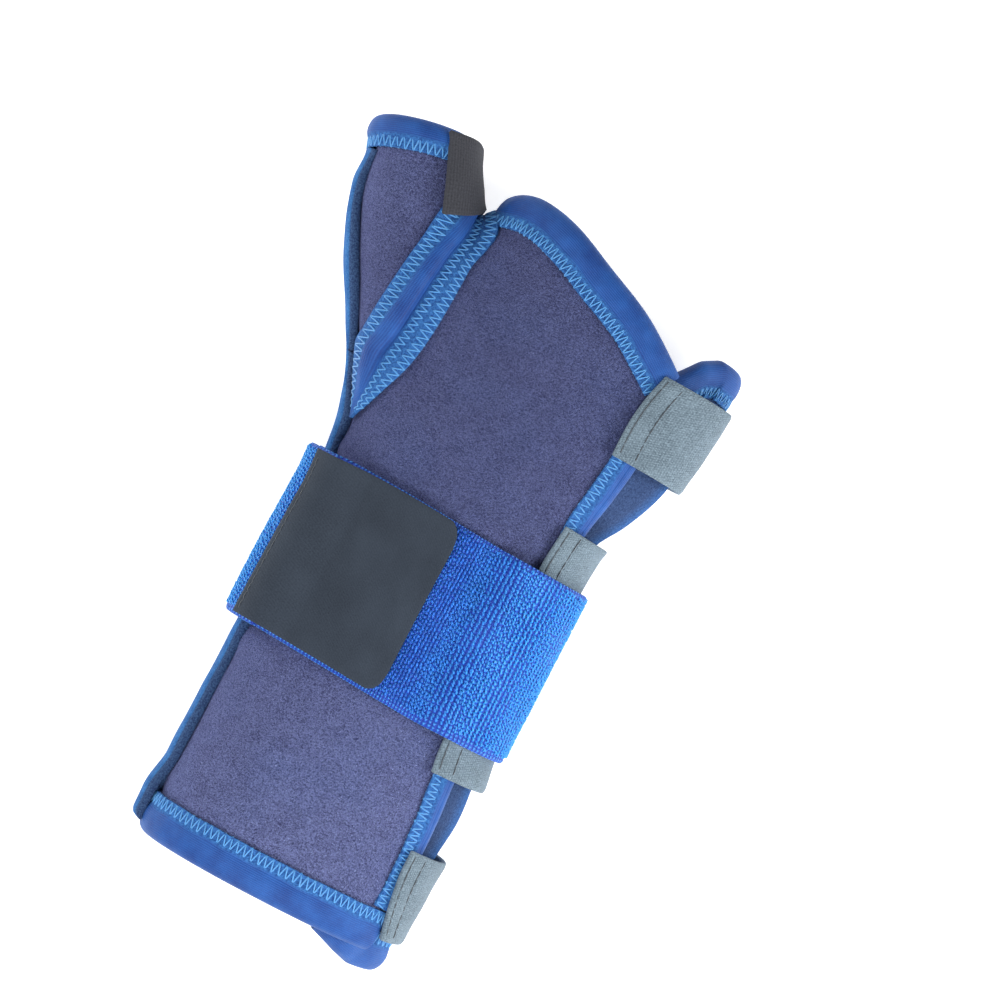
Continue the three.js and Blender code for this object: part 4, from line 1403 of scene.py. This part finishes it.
def strip_fabric():
    """The tape over the seam: an inner band painted dark as the shade of its sloping inner side, and a blue
    outer band.
    """
    fabric = Fabric("strip_fabric_two_tone", 0.3, (100, 150, 220), 0.2)
    across = fabric.on_cloth()[1]
    place = fabric.place()
    fine = fabric.noise(place, 2.2, 3.0, 0.6)
    broad = fabric.noise(place, 0.2, 2.0)
    dark = fabric.between(fabric.ramp(fine, 0.35, 0.65), (26, 42, 78), (58, 84, 122))
    bright = fabric.between(fabric.ramp(fine * 0.6 + broad * 0.4, 0.35, 0.65), (30, 76, 134), (64, 122, 182))
    # Painted shade: the inner band, beyond the sewn groove, is painted dark as the shadowed inner side of the
    # raised tape.
    colour = fabric.between(fabric.ramp(across - TAPE_WIDTH * STRIP_GROOVE, 0, 0.5), dark, bright)
    return fabric.finish(colour, 0.9, fine, 0.5, 0.9)


def thread_material(name, dark, pale):
    fabric = Fabric(name, 0.2, (255, 255, 255), 0.5)
    fine = fabric.noise(fabric.place(), 4.0, 2.0)
    colour = fabric.between(fine, dark, pale)
    return fabric.finish(colour, 0.5, fine, 0.05)


# Making the splint

navy = brushed_fabric()
palm_blue = palm_fabric()
blue = binding_fabric("binding_fabric_blue", (-1.0, 3.7))
gusset_blue = binding_fabric("gusset_fabric_blue", (0.0, 3.4), (7.9, 14.2))
grey = tab_fabric()
elastic = strap_elastic()
hook = hook_fabric()
black = thumb_strap_fabric()
painted_shade_tape = strip_fabric()
loop_yarn = yarn()
pale_thread = thread_material("thread_pale_blue", (44, 112, 182), (92, 164, 218))
dark_thread = thread_material("thread_dark", (34, 40, 48), (58, 66, 74))

dress(cloth_piece("dorsal_cloth", [(110, 190, dorsal_panel_place)], PANEL, None),
      navy, "dorsal_panel")
palm_grids = [(PALM_ACROSS, PALM_ALONG, palm_place), (THUMB_UNDER, THUMB_ROWS - 1, palm_thumb_place)]
dress(cloth_piece("palmar_cloth", palm_grids, PANEL, None, PALM_WELD),
      palm_blue, "palmar_panel")
dress(cloth_piece("thumb_cloth", [(44, 78, thumb_panel_place)], PANEL, None),
      navy, "thumb_panel")
dress(cloth_piece("gusset_cloth", [(42, 110, gusset_place)], GUSSET, 0.25),
      gusset_blue, "thumb_gusset")

proximal, proximal_drop = proximal_path()
palmar_distal, palmar_distal_drop = palmar_distal_path()
for node, seed, groove, binding in (
    ("proximal_binding", 51, 0.0, Binding(proximal, BINDING_LEAF, -1, proximal_drop)),
    ("dorsal_distal_binding", 52, 0.0, Binding(dorsal_distal_path(), BINDING_LEAF, 1)),
    ("palmar_distal_binding", 53, 0.0, Binding(palmar_distal, BINDING_LEAF - 2 * GAP, 1, palmar_distal_drop)),
    ("dorsal_edge_binding", 54, 0.45, Binding(dorsal_edge_path(), EDGE_LEAF, 1)),
    ("thumb_top_binding", 55, 0.0, Binding(thumb_top_path(), THUMB_LEAF, 1, ring=True)),
):
    grid = (44, int(binding.length / BINDING_ROW), binding.place(seed, groove))
    edging = cloth_piece(node.replace("binding", "edging"), [grid], BINDING, 0.22, RING_WELD * binding.ring)
    dress(edging, blue, node)
    row = threads(node.replace("binding", "zigzag"), [binding_zigzag(binding, seed)], THREAD)
    dress(row, pale_thread)

for name, low, high, seed in (
    ("gusset_zigzag_thumb", 0.02, 0.24, 61),
    ("gusset_zigzag_middle", 0.57, 0.74, 62),
    ("gusset_zigzag_hand", 0.8, 1.0, 63),
):
    dress(threads(name, [gusset_zigzag(low, high, seed)], THREAD), pale_thread)

dress(cloth_piece("thumb_side_tape", [(26, 260, strip_place)], TAPE_DEPTH, None),
      painted_shade_tape, "thumb_edge_binding")
dress(cloth_piece("wrist_strap_elastic", [(50, 400, strap_place)], STRAP, 0.4),
      elastic, "wrist_strap")
dress(threads("strap_loop_rows", strap_loops(), LOOP_YARN, 0), loop_yarn)
dress(cloth_piece("strap_hook_pad", [(60, 70, hook_place)], HOOK_TAB, 0.3),
      hook, "strap_hook_tab")
dress(cloth_piece("thumb_strap_web", [(26, 48, thumb_strap_place)], THUMB_STRAP, 0.35),
      black, "thumb_strap")

dark_rows = []
for seed, node in enumerate(TABS):
    name = node.replace("closure_", "") + "_pile"
    dress(cloth_piece(name, [(50, 36, tab_place(node, 70 + seed))], TAB, 0.35),
          grey, node)
    down = np.linspace(0.03, 0.97, 40)
    for line in TAB_LINES:
        dark_rows += lock_stitches(tab_point(node, bowed(line, down), down), TAB_TOP - SUNK)
    if node == "closure_tab_1":
        cross = np.linspace(*TAB_LINES, 12)
        dark_rows += lock_stitches(tab_point(node, cross, np.full(12, 0.05)), TAB_TOP - SUNK)
hook_row = hook_point(np.linspace(0.02, 0.98, 60), np.full(60, HOOK_LINE))[0]
dark_rows += lock_stitches(hook_row, HOOK_LEVEL(mix(HOOK_FROM, HOOK_TO, HOOK_LINE)) + HOOK_TAB - 0.1)
dress(threads("lock_stitches", dark_rows, LOCK_THREAD), dark_thread)


# Floor, light and camera, in metres

FLOOR_LEVEL = -0.0002
LIT_HEIGHT = 0.02


def floor():
    mesh = bpy.data.meshes.new("floor")
    bm = bmesh.new()
    bmesh.ops.create_grid(bm, x_segments=1, y_segments=1, size=2)
    bm.to_mesh(mesh)
    bm.free()
    ground = put("floor", mesh)
    material = bpy.data.materials.new("pale_floor")
    material.use_nodes = True
    shader = material.node_tree.nodes["Principled BSDF"]
    for socket, value in (("Base Color", (0.92, 0.92, 0.92, 1)), ("Roughness", 0.7),
                          ("Emission Color", (1, 1, 1, 1)), ("Emission Strength", 0.55)):
        shader.inputs[socket].default_value = value
    ground.data.materials.append(material)
    ground.location.z = FLOOR_LEVEL


def light(name, place, size, power):
    lamp = bpy.data.lights.new(name, "AREA")
    lamp.size = size
    lamp.energy = power
    holder = put(name, lamp)
    holder.location = place
    x, y, z = place
    holder.rotation_euler = (0, math.atan2(math.hypot(x, y), z - LIT_HEIGHT), math.atan2(y, x))


VIEW_TURN = math.radians(28)
VIEW_MIDDLE = (0.01647, 0.02226)
VIEW_HEIGHT = 1.25
VIEW_WIDTH = 0.2632


def camera():
    lens = bpy.data.cameras.new("camera")
    lens.sensor_width = 36
    lens.lens = 36 * (VIEW_HEIGHT - 0.03) / VIEW_WIDTH
    eye = put("camera", lens)
    eye.location = (*VIEW_MIDDLE, VIEW_HEIGHT)
    eye.rotation_euler = (0, 0, VIEW_TURN)
    bpy.context.scene.camera = eye


def surroundings():
    world = bpy.data.worlds.new("studio")
    world.use_nodes = True
    back = world.node_tree.nodes["Background"]
    back.inputs["Color"].default_value = (0.95, 0.97, 1.0, 1)
    back.inputs["Strength"].default_value = 0.22
    bpy.context.scene.world = world
    bpy.context.scene.view_settings.view_transform = "Standard"


floor()
camera()
surroundings()
light("key", (0.05, -0.36, 0.5), 0.4, 3.7)
light("right", (0.7, 0.06, 0.3), 0.4, 5.6)
light("left", (-0.6, 0.12, 0.4), 0.4, 3)
light("above", (-0.3, 0.5, 0.9), 0.7, 0.5)
